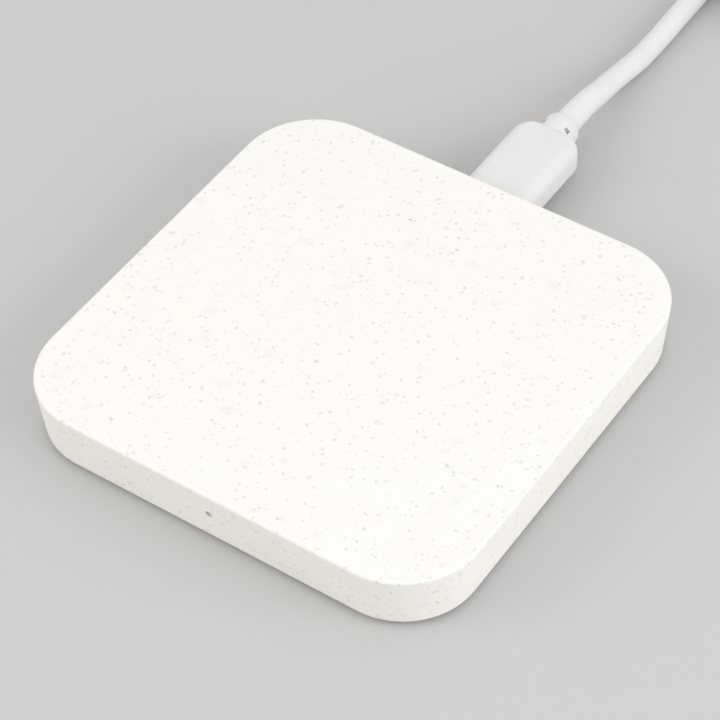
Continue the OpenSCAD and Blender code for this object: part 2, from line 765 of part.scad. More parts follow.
atongue_h = 1.9;
atongue_z = -(ashell_h / 2 - ashell_t);
module usb_a_tongue() {
    fit = 0.1; // all round, which clears the shell's inner corners
    w = ashell_w - 2 * (ashell_t + fit);
    color([0.93, 0.93, 0.92]) on_usb_a_axis(ashell_x) translate([-w / 2, 0, atongue_z + fit]) {
        cube([w, ashell_l - 0.5, atongue_h - fit]);
        cube([w, 1, ashell_h - 2 * (ashell_t + fit)]);
    }
}

module usb_a_contacts() {
    xs = [-3.5, -1, 1, 3.5];
    color(gold) on_usb_a_axis(ashell_x) for (x = xs)
        translate([x - 0.5, 1, atongue_z + atongue_h]) cube([1, abs(x) > 2 ? 9.5 : 8.5, 0.15]);
}

top_cover();
base_cover();
base_screws();
foot_front_left();
foot_front_right();
foot_rear_left();
foot_rear_right();
coil_tape();
charging_coil();
coil_bond();
ferrite_disc();
circuit_board();
control_chip();
bridge_chips();
resonant_capacitors();
chip_capacitors();
chip_resistors();
filter_inductor();
thermistor();
status_led();
light_pipe();
usb_c_socket_shell();
usb_c_socket_tongue();
usb_c_socket_contacts();
usb_c_plug_shell();
usb_c_plug_insulator();
usb_c_plug_contacts();
usb_c_grip();
usb_c_relief();
cord_lead();
cord_coil();
cord_tail();
cord_tie();
usb_a_relief();
usb_a_grip();
usb_a_shell();
usb_a_tongue();
usb_a_contacts();
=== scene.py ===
import math
import bpy
import bmesh
from mathutils import Matrix, Vector


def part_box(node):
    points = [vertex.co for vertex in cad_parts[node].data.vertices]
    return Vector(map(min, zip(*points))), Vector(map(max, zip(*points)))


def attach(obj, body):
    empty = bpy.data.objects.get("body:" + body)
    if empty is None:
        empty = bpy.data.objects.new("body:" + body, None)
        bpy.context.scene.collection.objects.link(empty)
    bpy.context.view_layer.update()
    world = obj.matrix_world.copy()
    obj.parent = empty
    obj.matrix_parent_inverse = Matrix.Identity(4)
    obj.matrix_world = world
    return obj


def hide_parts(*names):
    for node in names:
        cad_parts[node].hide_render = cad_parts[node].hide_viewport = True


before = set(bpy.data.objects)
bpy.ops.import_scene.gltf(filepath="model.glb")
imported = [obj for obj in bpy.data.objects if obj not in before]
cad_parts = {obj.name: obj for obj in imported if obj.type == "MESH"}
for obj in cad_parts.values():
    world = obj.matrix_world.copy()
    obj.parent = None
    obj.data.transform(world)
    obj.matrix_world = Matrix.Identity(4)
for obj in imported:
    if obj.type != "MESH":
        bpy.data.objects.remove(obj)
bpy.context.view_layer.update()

MM = 0.001


def mm(x, y, z):
    return Vector((x, y, z)) * MM


def box_mm(node):
    low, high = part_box(node)
    return low / MM, high / MM


# ---- camera, lights and floor

CAMERA_AZIMUTH = math.radians(35.94)
CAMERA_ELEVATION = math.radians(47.22)
CAMERA_ROLL = math.radians(-2.48)
CAMERA_DISTANCE = 0.3719
CAMERA_AIM = Vector((-0.0015, 0.0029, 0.0007))
LENS = 131.6
SENSOR_WIDTH = 36


def in_scene(name, data):
    """A new object in the scene with this mesh, curve, light or camera."""
    item = bpy.data.objects.new(name, data)
    bpy.context.scene.collection.objects.link(item)
    return item


def add_camera():
    flat = math.cos(CAMERA_ELEVATION)
    back = Vector((
        math.sin(CAMERA_AZIMUTH) * flat, -math.cos(CAMERA_AZIMUTH) * flat, math.sin(CAMERA_ELEVATION)))
    level = Vector((math.cos(CAMERA_AZIMUTH), math.sin(CAMERA_AZIMUTH), 0))
    upright = back.cross(level)
    right = level * math.cos(CAMERA_ROLL) + upright * math.sin(CAMERA_ROLL)
    up = upright * math.cos(CAMERA_ROLL) - level * math.sin(CAMERA_ROLL)
    data = bpy.data.cameras.new("camera")
    data.sensor_width = SENSOR_WIDTH
    data.lens = LENS
    data.clip_start = 0.01
    turn = Matrix((right, up, back)).transposed().to_4x4()
    camera = in_scene("camera", data)
    camera.matrix_world = Matrix.Translation(CAMERA_AIM + back * CAMERA_DISTANCE) @ turn
    bpy.context.scene.camera = camera


def add_softbox(name, place, aim, size, power, tint=(1, 1, 1)):
    data = bpy.data.lights.new(name, "AREA")
    data.shape = "RECTANGLE"
    data.size, data.size_y = size
    data.energy = power
    data.color = tint
    light = in_scene(name, data)
    light.location = place
    light.rotation_euler = (Vector(place) - Vector(aim)).to_track_quat("Z", "Y").to_euler()


def add_studio():
    world = bpy.data.worlds.new("studio")
    world.use_nodes = True
    sky = world.node_tree.nodes["Background"].inputs
    sky["Color"].default_value = (0.985, 0.99, 1.0, 1)
    sky["Strength"].default_value = 0.84
    bpy.context.scene.world = world
    add_softbox("key_softbox", (-0.34, -0.36, 0.36), (0, 0.01, 0), (0.36, 0.36), 0.95, (1, 0.97, 0.935))
    add_softbox("fill_softbox", (0.58, 0.04, 0.30), (0, 0.02, 0), (0.5, 0.4), 1.75)
    bpy.context.scene.view_settings.view_transform = "Standard"


def add_floor():
    reach = 1.6
    mesh = bpy.data.meshes.new("floor")
    corners = [(-reach, -reach, 0), (reach, -reach, 0), (reach, reach, 0), (-reach, reach, 0)]
    mesh.from_pydata(corners, [], [(0, 1, 2, 3)])
    material, tree, shader, place = new_finish(
        "floor_paint", (0.56, 0.55, 0.54), 0.75, Specular_IOR_Level=0.2)
    grain = use_group(tree, MOULDED_GRAIN, {"Vector": place, "Grain Size": 0.002, "Wave Size": 0.12})
    color = blended(tree, grain["Unevenness"], (0.555, 0.548, 0.54, 1), (0.57, 0.563, 0.555, 1))
    feed(tree, shader, Base_Color=color)
    mesh.materials.append(material)
    floor = in_scene("floor", mesh)


# ---- node trees

def add_node(tree, kind, inputs=None, **settings):
    """A new node. Its inputs are given by name or number, each a value or an output to link."""
    node = tree.nodes.new(kind)
    for name, value in settings.items():
        setattr(node, name, value)
    for key, value in (inputs or {}).items():
        if isinstance(value, bpy.types.NodeSocket):
            tree.links.new(value, node.inputs[key])
        else:
            node.inputs[key].default_value = value
    return node


def vector_math(tree, operation, inputs):
    return add_node(tree, "ShaderNodeVectorMath", inputs, operation=operation).outputs[0]


FLOAT = "NodeSocketFloat"
INT = "NodeSocketInt"
BOOL = "NodeSocketBool"
VECTOR = "NodeSocketVector"
GEOMETRY = "NodeSocketGeometry"
MATERIAL = "NodeSocketMaterial"


def new_group(kind, name, inputs, outputs):
    """A node group with named inputs and outputs, and the sockets of its two ends."""
    group = bpy.data.node_groups.new(name, kind)
    for label, socket, value in inputs:
        item = group.interface.new_socket(label, in_out="INPUT", socket_type=socket)
        if value is not None:
            item.default_value = value
    for label, socket in outputs:
        group.interface.new_socket(label, in_out="OUTPUT", socket_type=socket)
    given = group.nodes.new("NodeGroupInput").outputs
    result = group.nodes.new("NodeGroupOutput").inputs
    return group, given, result


def end_tree(group, given, result, geometry):
    """Ends a tree with real geometry in the finish that it was given."""
    real = add_node(group, "GeometryNodeRealizeInstances", {"Geometry": geometry})
    painted = add_node(group, "GeometryNodeSetMaterial", {
        "Geometry": real.outputs[0], "Material": given["Finish"]})
    group.links.new(painted.outputs[0], result[0])
    return group


def swept_wall_tree():
    """Sweeps a section round a rounded rectangle and closes it with a flat face at each end."""
    group, given, result = new_group("GeometryNodeTree", "swept_wall", [
        ("Section", GEOMETRY, None),
        ("Core Width", FLOAT, 0.04),
        ("Core Depth", FLOAT, 0.04),
        ("Core Corner Radius", FLOAT, 0.001),
        ("Corner Steps", INT, 24),
        ("Capped", BOOL, True),
        ("First Cap Height", FLOAT, 0.0),
        ("Second Cap Height", FLOAT, 0.01),
        ("Finish", MATERIAL, None),
    ], [("Geometry", GEOMETRY)])
    section = add_node(group, "GeometryNodeMeshToCurve", {"Mesh": given["Section"]})
    outline = add_node(group, "GeometryNodeCurvePrimitiveQuadrilateral", {
        "Width": given["Core Width"], "Height": given["Core Depth"]}, mode="RECTANGLE")
    core = add_node(group, "GeometryNodeFilletCurve", {
        "Curve": outline.outputs[0], "Radius": given["Core Corner Radius"], "Limit Radius": True},
        mode="POLY")
    group.links.new(given["Corner Steps"], core.inputs["Count"])
    upright = add_node(group, "GeometryNodeSetCurveNormal", {"Curve": core.outputs[0]}, mode="Z_UP")
    wall = add_node(group, "GeometryNodeCurveToMesh", {
        "Curve": upright.outputs[0], "Profile Curve": section.outputs[0]})
    face = add_node(group, "GeometryNodeFillCurve", {"Curve": core.outputs[0]}, mode="NGONS")
    caps = add_node(group, "GeometryNodeJoinGeometry")
    for label in ("First Cap Height", "Second Cap Height"):
        rise = add_node(group, "ShaderNodeCombineXYZ", {"Z": given[label]})
        cap = add_node(group, "GeometryNodeTransform", {
            "Geometry": face.outputs[0], "Translation": rise.outputs[0]})
        group.links.new(cap.outputs[0], caps.inputs[0])
    choice = add_node(group, "GeometryNodeSwitch", {
        "Switch": given["Capped"], "True": caps.outputs[0]}, input_type="GEOMETRY")
    whole = add_node(group, "GeometryNodeJoinGeometry")
    group.links.new(wall.outputs[0], whole.inputs[0])
    group.links.new(choice.outputs[0], whole.inputs[0])
    closed = add_node(group, "GeometryNodeMergeByDistance", {
        "Geometry": whole.outputs[0], "Distance": 1e-6})
    return end_tree(group, given, result, closed.outputs[0])


def copies_on_grid_tree():
    """Repeats a piece on a grid centred on the origin."""
    group, given, result = new_group("GeometryNodeTree", "copies_on_grid", [
        ("Piece", GEOMETRY, None),
        ("Columns", INT, 2),
        ("Rows", INT, 2),
        ("Width", FLOAT, 0.048),
        ("Depth", FLOAT, 0.048),
        ("Finish", MATERIAL, None),
    ], [("Geometry", GEOMETRY)])
    grid = add_node(group, "GeometryNodeMeshGrid", {
        "Size X": given["Width"], "Size Y": given["Depth"],
        "Vertices X": given["Columns"], "Vertices Y": given["Rows"]})
    copies = add_node(group, "GeometryNodeInstanceOnPoints", {
        "Points": grid.outputs["Mesh"], "Instance": given["Piece"]})
    return end_tree(group, given, result, copies.outputs[0])


def stepped_copies_tree():
    """Repeats a piece with the same step, turn and growth from each copy to the next."""
    group, given, result = new_group("GeometryNodeTree", "stepped_copies", [
        ("Piece", GEOMETRY, None),
        ("Count", INT, 4),
        ("Step", VECTOR, (0.0, 0.0, 0.0)),
        ("Turn", VECTOR, (0.0, 0.0, 0.0)),
        ("Growth", VECTOR, (0.0, 0.0, 0.0)),
        ("Finish", MATERIAL, None),
    ], [("Geometry", GEOMETRY)])
    line = add_node(group, "GeometryNodeMeshLine", {"Count": given["Count"], "Offset": given["Step"]})
    index = add_node(group, "GeometryNodeInputIndex")
    turn = vector_math(group, "SCALE", {0: given["Turn"], "Scale": index.outputs[0]})
    growth = vector_math(group, "SCALE", {0: given["Growth"], "Scale": index.outputs[0]})
    size = vector_math(group, "ADD", {0: growth, 1: (1.0, 1.0, 1.0)})
    rotation = add_node(group, "FunctionNodeEulerToRotation", {"Euler": turn})
    copies = add_node(group, "GeometryNodeInstanceOnPoints", {
        "Points": line.outputs["Mesh"], "Instance": given["Piece"],
        "Rotation": rotation.outputs[0], "Scale": size})
    return end_tree(group, given, result, copies.outputs[0])


SWEPT_WALL = swept_wall_tree()
COPIES_ON_GRID = copies_on_grid_tree()
STEPPED_COPIES = stepped_copies_tree()


def grown(tree, start, sizes):
    """The plain mesh that a node tree makes from a starting mesh."""
    carrier = in_scene("carrier", start)
    modifier = carrier.modifiers.new("shape", "NODES")
    modifier.node_group = tree
    inputs = [item for item in tree.interface.items_tree if item.in_out == "INPUT"]
    sockets = {item.name: item.identifier for item in inputs}
    for label, value in sizes.items():
        modifier[sockets[label]] = value
    graph = bpy.context.evaluated_depsgraph_get()
    mesh = bpy.data.meshes.new_from_object(carrier.evaluated_get(graph))
    bpy.data.objects.remove(carrier)
    return mesh


# ---- shader groups

def value_math(tree, operation, *terms):
    return add_node(tree, "ShaderNodeMath", dict(enumerate(terms)), operation=operation).outputs[0]


def one_over(tree, value):
    return value_math(tree, "DIVIDE", 1.0, value)


def ranged(tree, value, low, high, to_low=0.0, to_high=1.0, smooth=False):
    node = add_node(tree, "ShaderNodeMapRange", {
        "Value": value, "From Min": low, "From Max": high, "To Min": to_low, "To Max": to_high},
        interpolation_type="SMOOTHSTEP" if smooth else "LINEAR")
    return node.outputs["Result"]


def blended(tree, amount, first, second):
    """Mixes two colours. A Mix node's colour sockets share their names, so they go by number."""
    node = add_node(tree, "ShaderNodeMix", {0: amount, 6: first, 7: second}, data_type="RGBA")
    return node.outputs[2]


def noise(tree, place, scale, detail, roughness=0.5):
    return add_node(tree, "ShaderNodeTexNoise", {
        "Vector": place, "Scale": scale, "Detail": detail, "Roughness": roughness}).outputs


def fleck_group():
    """Scattered flecks of uneven shape and size. Size is a share of the spacing between them."""
    group, given, result = new_group("ShaderNodeTree", "flecks", [
        ("Vector", VECTOR, None),
        ("Spacing", FLOAT, 0.001),
        ("Size", FLOAT, 0.3),
        ("Share", FLOAT, 0.5),
        ("Raggedness", FLOAT, 0.3),
        ("Softness", FLOAT, 0.4),
    ], [("Mask", FLOAT), ("Tone", FLOAT)])
    finer = value_math(group, "DIVIDE", 2.6, given["Spacing"])
    ragged = noise(group, given["Vector"], finer, 2.0, 0.6)
    centred = vector_math(group, "SUBTRACT", {0: ragged["Color"], 1: (0.5, 0.5, 0.5)})
    reach = value_math(group, "MULTIPLY", given["Raggedness"], given["Spacing"])
    shift = vector_math(group, "SCALE", {0: centred, "Scale": reach})
    place = vector_math(group, "ADD", {0: given["Vector"], 1: shift})
    cells = add_node(group, "ShaderNodeTexVoronoi", {
        "Vector": place, "Scale": one_over(group, given["Spacing"]), "Randomness": 1.0})
    chance = add_node(group, "ShaderNodeSeparateColor", {"Color": cells.outputs["Color"]})
    uneven = ranged(group, chance.outputs[1], 0.0, 1.0, 0.35, 1.0)
    edge = value_math(group, "MULTIPLY", given["Size"], uneven)
    core = value_math(group, "MULTIPLY", edge, value_math(group, "SUBTRACT", 1.0, given["Softness"]))
    inside = ranged(group, cells.outputs["Distance"], edge, core, smooth=True)
    chosen = value_math(group, "LESS_THAN", chance.outputs[0], given["Share"])
    group.links.new(value_math(group, "MULTIPLY", inside, chosen), result["Mask"])
    group.links.new(chance.outputs[2], result["Tone"])
    return group


def moulded_grain_group():
    """The fine skin of moulded plastic: slow waviness, fine grain, and a little unevenness in gloss."""
    group, given, result = new_group("ShaderNodeTree", "moulded_grain", [
        ("Vector", VECTOR, None),
        ("Grain Size", FLOAT, 0.0002),
        ("Wave Size", FLOAT, 0.006),
        ("Wave Amount", FLOAT, 0.4),
    ], [("Height", FLOAT), ("Unevenness", FLOAT)])
    fine = one_over(group, given["Grain Size"])
    coarse = one_over(group, given["Wave Size"])
    grain = noise(group, given["Vector"], fine, 3.0, 0.55)["Fac"]
    waves = noise(group, given["Vector"], coarse, 2.0)["Fac"]
    slow = value_math(group, "MULTIPLY", waves, given["Wave Amount"])
    group.links.new(value_math(group, "ADD", grain, slow), result["Height"])
    group.links.new(waves, result["Unevenness"])
    return group


def brushed_group():
    """Fine drawn lines along one axis, as on stamped and plated sheet."""
    group, given, result = new_group("ShaderNodeTree", "brushed_lines", [
        ("Vector", VECTOR, None),
        ("Stretch", VECTOR, (1.0, 0.03, 1.0)),
        ("Line Width", FLOAT, 0.0001),
    ], [("Lines", FLOAT), ("Stains", FLOAT)])
    drawn = vector_math(group, "MULTIPLY", {0: given["Vector"], 1: given["Stretch"]})
    fine = one_over(group, given["Line Width"])
    group.links.new(noise(group, drawn, fine, 2.0, 0.6)["Fac"], result["Lines"])
    group.links.new(noise(group, given["Vector"], 450.0, 3.0, 0.6)["Fac"], result["Stains"])
    return group


def weave_group():
    """Crossed threads seen from outside: raised bands that take turns going over and under."""
    group, given, result = new_group("ShaderNodeTree", "weave", [
        ("Along", FLOAT, 0.0),
        ("Across", FLOAT, 0.0),
        ("Pitch", FLOAT, 0.0004),
    ], [("Height", FLOAT), ("Shade", FLOAT)])
    turn = value_math(group, "DIVIDE", math.pi, given["Pitch"])
    first = value_math(group, "SINE", value_math(group, "MULTIPLY", given["Along"], turn))
    second = value_math(group, "SINE", value_math(group, "MULTIPLY", given["Across"], turn))
    height = value_math(group, "MULTIPLY", first, second)
    group.links.new(value_math(group, "ABSOLUTE", height), result["Height"])
    group.links.new(ranged(group, height, -1.0, 1.0, 0.0, 1.0), result["Shade"])
    return group


FLECKS = fleck_group()
MOULDED_GRAIN = moulded_grain_group()
BRUSHED_LINES = brushed_group()
WEAVE = weave_group()


def use_group(tree, group, inputs):
    return add_node(tree, "ShaderNodeGroup", inputs, node_tree=group).outputs


def new_finish(name, color, roughness, **constants):
    """A material with a Principled shader: the tree, the shader and the object's own coordinates."""
    material = bpy.data.materials.new(name)
    material.use_nodes = True
    material.diffuse_color = (*color, 1)
    tree = material.node_tree
    shader = tree.nodes["Principled BSDF"]
    shader.inputs["Base Color"].default_value = (*color, 1)
    shader.inputs["Roughness"].default_value = roughness
    for label, value in constants.items():
        shader.inputs[label.replace("_", " ")].default_value = value
    place = add_node(tree, "ShaderNodeTexCoord").outputs["Object"]
    return material, tree, shader, place


def bump(tree, shader, height, depth, strength):
    node = add_node(tree, "ShaderNodeBump", {"Height": height, "Distance": depth, "Strength": strength})
    tree.links.new(node.outputs[0], shader.inputs["Normal"])


def feed(tree, shader, **links):
    for label, socket in links.items():
        tree.links.new(socket, shader.inputs[label.replace("_", " ")])


def turned_place(tree, place, degrees, shift):
    angles = tuple(math.radians(a) for a in degrees)
    return add_node(tree, "ShaderNodeMapping", {
        "Vector": place, "Location": shift, "Rotation": angles}).outputs[0]


# ---- finishes

def wheat_plastic():
    """White plastic filled with wheat straw: pale grey specks, fibres, and a few coloured flakes."""
    base = (0.890, 0.865, 0.820)
    material, tree, shader, place = new_finish("wheat_plastic", base, 0.6, Specular_IOR_Level=0.3)
    color = (*base, 1)
    clouds = noise(tree, place, 170.0, 3.0)["Fac"]
    amount = ranged(tree, clouds, 0.35, 0.7, 0.0, 0.35, smooth=True)
    color = blended(tree, amount, color, (0.858, 0.838, 0.802, 1))
    layers = (
        # turn, shift, stretch along x, spacing, size, share, strength, first tone, second tone
        ((10, 20, 30), (0.010, 0.020, 0.030), 1, 0.0013, 0.31, 0.80, 0.57,
         (0.46, 0.45, 0.44), (0.64, 0.62, 0.59)),
        ((50, 10, 75), (0.040, 0.010, 0.020), 1, 0.0009, 0.36, 0.60, 0.38,
         (0.51, 0.50, 0.49), (0.66, 0.64, 0.61)),
        ((5, 80, 40), (0.010, 0.060, 0.050), 1, 0.0032, 0.42, 0.55, 0.20,
         (0.60, 0.60, 0.61), (0.68, 0.68, 0.67)),
        ((0, 0, 25), (0.020, 0.050, 0.010), 0.7, 0.0012, 0.30, 0.50, 0.54,
         (0.42, 0.42, 0.42), (0.60, 0.58, 0.55)),
        ((0, 0, 118), (0.030, 0.020, 0.050), 0.65, 0.0014, 0.30, 0.45, 0.52,
         (0.44, 0.43, 0.42), (0.60, 0.58, 0.54)),
        ((25, 35, 60), (0.070, 0.030, 0.010), 1, 0.0062, 0.060, 0.55, 0.75,
         (0.42, 0.24, 0.15), (0.66, 0.48, 0.20)),
        ((15, 65, 10), (0.020, 0.080, 0.040), 1, 0.0078, 0.055, 0.50, 0.70,
         (0.48, 0.20, 0.16), (0.40, 0.34, 0.27)))
    for degrees, shift, stretch, spacing, size, share, strength, first, second in layers:
        spot = turned_place(tree, place, degrees, shift)
        spot = vector_math(tree, "MULTIPLY", {0: spot, 1: (stretch, 1, 1)})
        flecks = use_group(tree, FLECKS, {
            "Vector": spot, "Spacing": spacing, "Size": size, "Share": share,
            "Raggedness": 0.5, "Softness": 0.85})
        tone = blended(tree, flecks["Tone"], (*first, 1), (*second, 1))
        color = blended(tree, value_math(tree, "MULTIPLY", flecks["Mask"], strength), color, tone)
    grain = use_group(tree, MOULDED_GRAIN, {
        "Vector": place, "Grain Size": 0.00035, "Wave Size": 0.005, "Wave Amount": 1.2})
    bump(tree, shader, grain["Height"], 0.00003, 0.5)
    feed(tree, shader, Base_Color=color, Roughness=ranged(tree, grain["Unevenness"], 0.3, 0.7, 0.56, 0.66))
    return material


def plain_plastic(name, base, roughness, grain_size, depth, tint=0.97):
    """Moulded plastic of one colour with a fine grain, faint clouding and an uneven gloss."""
    material, tree, shader, place = new_finish(name, base, roughness, Specular_IOR_Level=0.45)
    grain = use_group(tree, MOULDED_GRAIN, {"Vector": place, "Grain Size": grain_size, "Wave Size": 0.004})
    darker = tuple(c * tint for c in base)
    cloud = ranged(tree, grain["Unevenness"], 0.3, 0.7, smooth=True)
    color = blended(tree, cloud, (*base, 1), (*darker, 1))
    bump(tree, shader, grain["Height"], depth, 0.5)
    feed(tree, shader, Base_Color=color,
         Roughness=ranged(tree, cloud, 0.0, 1.0, roughness - 0.05, roughness + 0.06))
    return material


def metal(name, base, roughness, stretch):
    """Plated metal with fine drawn lines and faint stains."""
    material, tree, shader, place = new_finish(name, base, roughness, Metallic=1.0)
    brushed = use_group(tree, BRUSHED_LINES, {"Vector": place, "Stretch": stretch, "Line Width": 0.00008})
    stained = tuple(c * 0.85 for c in base)
    patch = ranged(tree, brushed["Stains"], 0.4, 0.7, smooth=True)
    bump(tree, shader, brushed["Lines"], 0.000004, 0.6)
    feed(tree, shader, Base_Color=blended(tree, patch, (*base, 1), (*stained, 1)),
         Roughness=ranged(tree, brushed["Lines"], 0.3, 0.7, roughness - 0.06, roughness + 0.1))
    return material


def silicone():
    """Soft translucent rubber with a fine skin and a little pale dust."""
    base = (0.70, 0.70, 0.68)
    material, tree, shader, place = new_finish(
        "foot_silicone", base, 0.55, Specular_IOR_Level=0.35, Subsurface_Weight=0.15)
    shader.inputs["Subsurface Radius"].default_value = (0.8, 0.8, 0.8)
    shader.inputs["Subsurface Scale"].default_value = 0.0006
    grain = use_group(tree, MOULDED_GRAIN, {"Vector": place, "Grain Size": 0.00025, "Wave Size": 0.003})
    dust = use_group(tree, FLECKS, {
        "Vector": place, "Spacing": 0.0009, "Size": 0.16, "Share": 0.4, "Raggedness": 0.5, "Softness": 0.6})
    dusty = value_math(tree, "MULTIPLY", dust["Mask"], 0.35)
    color = blended(tree, dusty, (*base, 1), (0.86, 0.85, 0.83, 1))
    bump(tree, shader, grain["Height"], 0.00002, 0.6)
    feed(tree, shader, Base_Color=color, Roughness=ranged(tree, grain["Unevenness"], 0.3, 0.7, 0.48, 0.66))
    return material


def woven_strap():
    """Grey tape woven from fine threads. Its pattern follows the strap's own map."""
    material, tree, shader, place = new_finish("tie_strap", (0.70, 0.70, 0.70), 0.85, Sheen_Weight=0.25)
    flat = add_node(tree, "ShaderNodeUVMap", uv_map="strap").outputs[0]
    ways = add_node(tree, "ShaderNodeSeparateXYZ", {0: flat}).outputs
    threads = use_group(tree, WEAVE, {"Along": ways[0], "Across": ways[1], "Pitch": 0.0004})
    fuzz = noise(tree, place, 5200.0, 2.0)["Fac"]
    color = blended(tree, threads["Shade"], (0.60, 0.60, 0.61, 1), (0.76, 0.76, 0.76, 1))
    color = blended(tree, value_math(tree, "MULTIPLY", fuzz, 0.4), color, (0.84, 0.84, 0.84, 1))
    bump(tree, shader, threads["Height"], 0.00008, 0.8)
    feed(tree, shader, Base_Color=color, Roughness=ranged(tree, threads["Height"], 0.0, 1.0, 0.95, 0.75))
    return material


def circuit_laminate():
    """Green solder mask over copper tracks, with fine glass weave below."""
    material, tree, shader, place = new_finish("board_green", (0.02, 0.13, 0.06), 0.32)
    tracks = add_node(tree, "ShaderNodeTexVoronoi", {
        "Vector": place, "Scale": 420.0, "Randomness": 0.8},
        feature="DISTANCE_TO_EDGE", voronoi_dimensions="2D")
    track = ranged(tree, tracks.outputs["Distance"], 0.05, 0.09)
    ways = add_node(tree, "ShaderNodeSeparateXYZ", {0: place}).outputs
    glass = use_group(tree, WEAVE, {"Along": ways[0], "Across": ways[1], "Pitch": 0.0005})
    color = blended(tree, track, (0.03, 0.20, 0.09, 1), (0.015, 0.11, 0.05, 1))
    color = blended(tree, value_math(tree, "MULTIPLY", glass["Shade"], 0.25), color, (0.02, 0.16, 0.08, 1))
    bump(tree, shader, value_math(tree, "SUBTRACT", 1.0, track), 0.00003, 0.7)
    feed(tree, shader, Base_Color=color, Roughness=ranged(tree, glass["Height"], 0.0, 1.0, 0.36, 0.28))
    return material


def wound_copper():
    """Enamelled litz wire: rings of fine strands that lie side by side."""
    material, tree, shader, place = new_finish(
        "copper_wire", (0.72, 0.30, 0.14), 0.32, Metallic=0.9, Coat_Weight=0.4)
    ways = add_node(tree, "ShaderNodeSeparateXYZ", {0: place}).outputs
    squares = [value_math(tree, "POWER", way, 2.0) for way in (ways[0], ways[1])]
    reach = value_math(tree, "SQRT", value_math(tree, "ADD", *squares))
    around = value_math(tree, "ARCTAN2", ways[1], ways[0])
    twist = value_math(tree, "MULTIPLY", around, 60.0)
    rings = value_math(tree, "MULTIPLY", reach, 9000.0)
    strand = ranged(tree, value_math(tree, "SINE", value_math(tree, "ADD", twist, rings)), -1.0, 1.0)
    tone = noise(tree, place, 700.0, 2.0)["Fac"]
    color = blended(tree, tone, (0.78, 0.34, 0.16, 1), (0.60, 0.22, 0.09, 1))
    bump(tree, shader, strand, 0.00004, 0.8)
    feed(tree, shader, Base_Color=color, Roughness=ranged(tree, strand, 0.0, 1.0, 0.42, 0.28))
    return material


def speckled(name, base, fleck, roughness, spacing, size, share, **constants):
    """A solid material with fine flecks of another tone, such as ferrite, ceramic or tape."""
    material, tree, shader, place = new_finish(name, base, roughness, **constants)
    flecks = use_group(tree, FLECKS, {
        "Vector": place, "Spacing": spacing, "Size": size, "Share": share,
        "Raggedness": 0.5, "Softness": 0.7})
    grain = use_group(tree, MOULDED_GRAIN, {"Vector": place, "Grain Size": spacing / 3, "Wave Size": 0.002})
    color = blended(tree, flecks["Mask"], (*base, 1), (*fleck, 1))
    bump(tree, shader, grain["Height"], 0.00001, 0.5)
    feed(tree, shader, Base_Color=color,
         Roughness=ranged(tree, grain["Unevenness"], 0.3, 0.7, roughness - 0.05, roughness + 0.08))
    return material


FINISH = {
    "wheat_plastic": wheat_plastic(), "tie_strap": woven_strap(), "foot_silicone": silicone(),
    "copper_wire": wound_copper(), "board_green": circuit_laminate()}
for name, *values in (
        # colour, roughness, grain size, grain depth, tint of the clouding
        ("grip_plastic", (0.752, 0.751, 0.747), 0.42, 0.00022, 0.00001),
        ("cord_jacket", (0.762, 0.760, 0.756), 0.40, 0.00018, 0.000008),
        ("chip_black", (0.022, 0.022, 0.024), 0.5, 0.00012, 0.000006, 0.8),
        ("connector_black", (0.020, 0.020, 0.022), 0.4, 0.00015, 0.000006, 0.8),
        ("connector_white", (0.78, 0.78, 0.76), 0.4, 0.00015, 0.000006)):
    FINISH[name] = plain_plastic(name, *values)
for name, *values in (
        # colour, roughness, stretch of the drawn lines
        ("screw_steel", (0.55, 0.55, 0.56), 0.30, (1.0, 1.0, 0.05)),
        ("plated_steel", (0.74, 0.74, 0.75), 0.24, (1.0, 0.04, 1.0)),
        ("gold_contacts", (0.90, 0.66, 0.28), 0.22, (1.0, 0.1, 1.0))):
    FINISH[name] = metal(name, *values)
for name, *values in (
        # colour, colour of the flecks, roughness, then spacing, size and share of the flecks
        ("ferrite", (0.055, 0.055, 0.060), (0.12, 0.12, 0.13), 0.55, 0.0004, 0.30, 0.5),
        ("adhesive_tape", (0.78, 0.62, 0.28), (0.86, 0.74, 0.42), 0.35, 0.0016, 0.35, 0.4),
        ("adhesive_film", (0.74, 0.74, 0.68), (0.84, 0.84, 0.80), 0.30, 0.0012, 0.35, 0.5),
        ("ceramic_tan", (0.46, 0.33, 0.20), (0.56, 0.44, 0.30), 0.38, 0.0003, 0.3, 0.5),
        ("led_lens", (0.84, 0.76, 0.36), (0.90, 0.86, 0.60), 0.2, 0.0003, 0.3, 0.5)):
    FINISH[name] = speckled(name, *values)
FINISH["clear_plastic"] = speckled(
    "clear_plastic", (0.90, 0.92, 0.93), (0.84, 0.87, 0.89), 0.12, 0.0008, 0.2, 0.3,
    Transmission_Weight=0.9, IOR=1.49)


# ---- mesh helpers

def skin(bm, rows, ring=False):
    """Joins closed rows of points, in order, and closes the two ends unless the rows form a ring."""
    pairs = list(zip(rows, rows[1:]))
    if ring:
        pairs.append((rows[-1], rows[0]))
    for low, high in pairs:
        count = len(low)
        for k in range(count):
            after = (k + 1) % count
            corners = list(dict.fromkeys((low[k], low[after], high[after], high[k])))
            if len(corners) > 2:
                bm.faces.new(corners)
    if not ring:
        for row in (rows[0], rows[-1]):
            if len(set(row)) > 2:
                bm.faces.new(row)


def turned(outline, steps, ring=False):
    """A shape turned about the z axis from its outline of radius and height, in millimetres."""
    bm = bmesh.new()
    angles = [2 * math.pi * k / steps for k in range(steps)]
    rows = []
    for r, z in outline:
        if r < 1e-6:
            rows.append([bm.verts.new(mm(0, 0, z))] * steps)
        else:
            rows.append([bm.verts.new(mm(r * math.cos(a), r * math.sin(a), z)) for a in angles])
    skin(bm, rows, ring)
    return bm


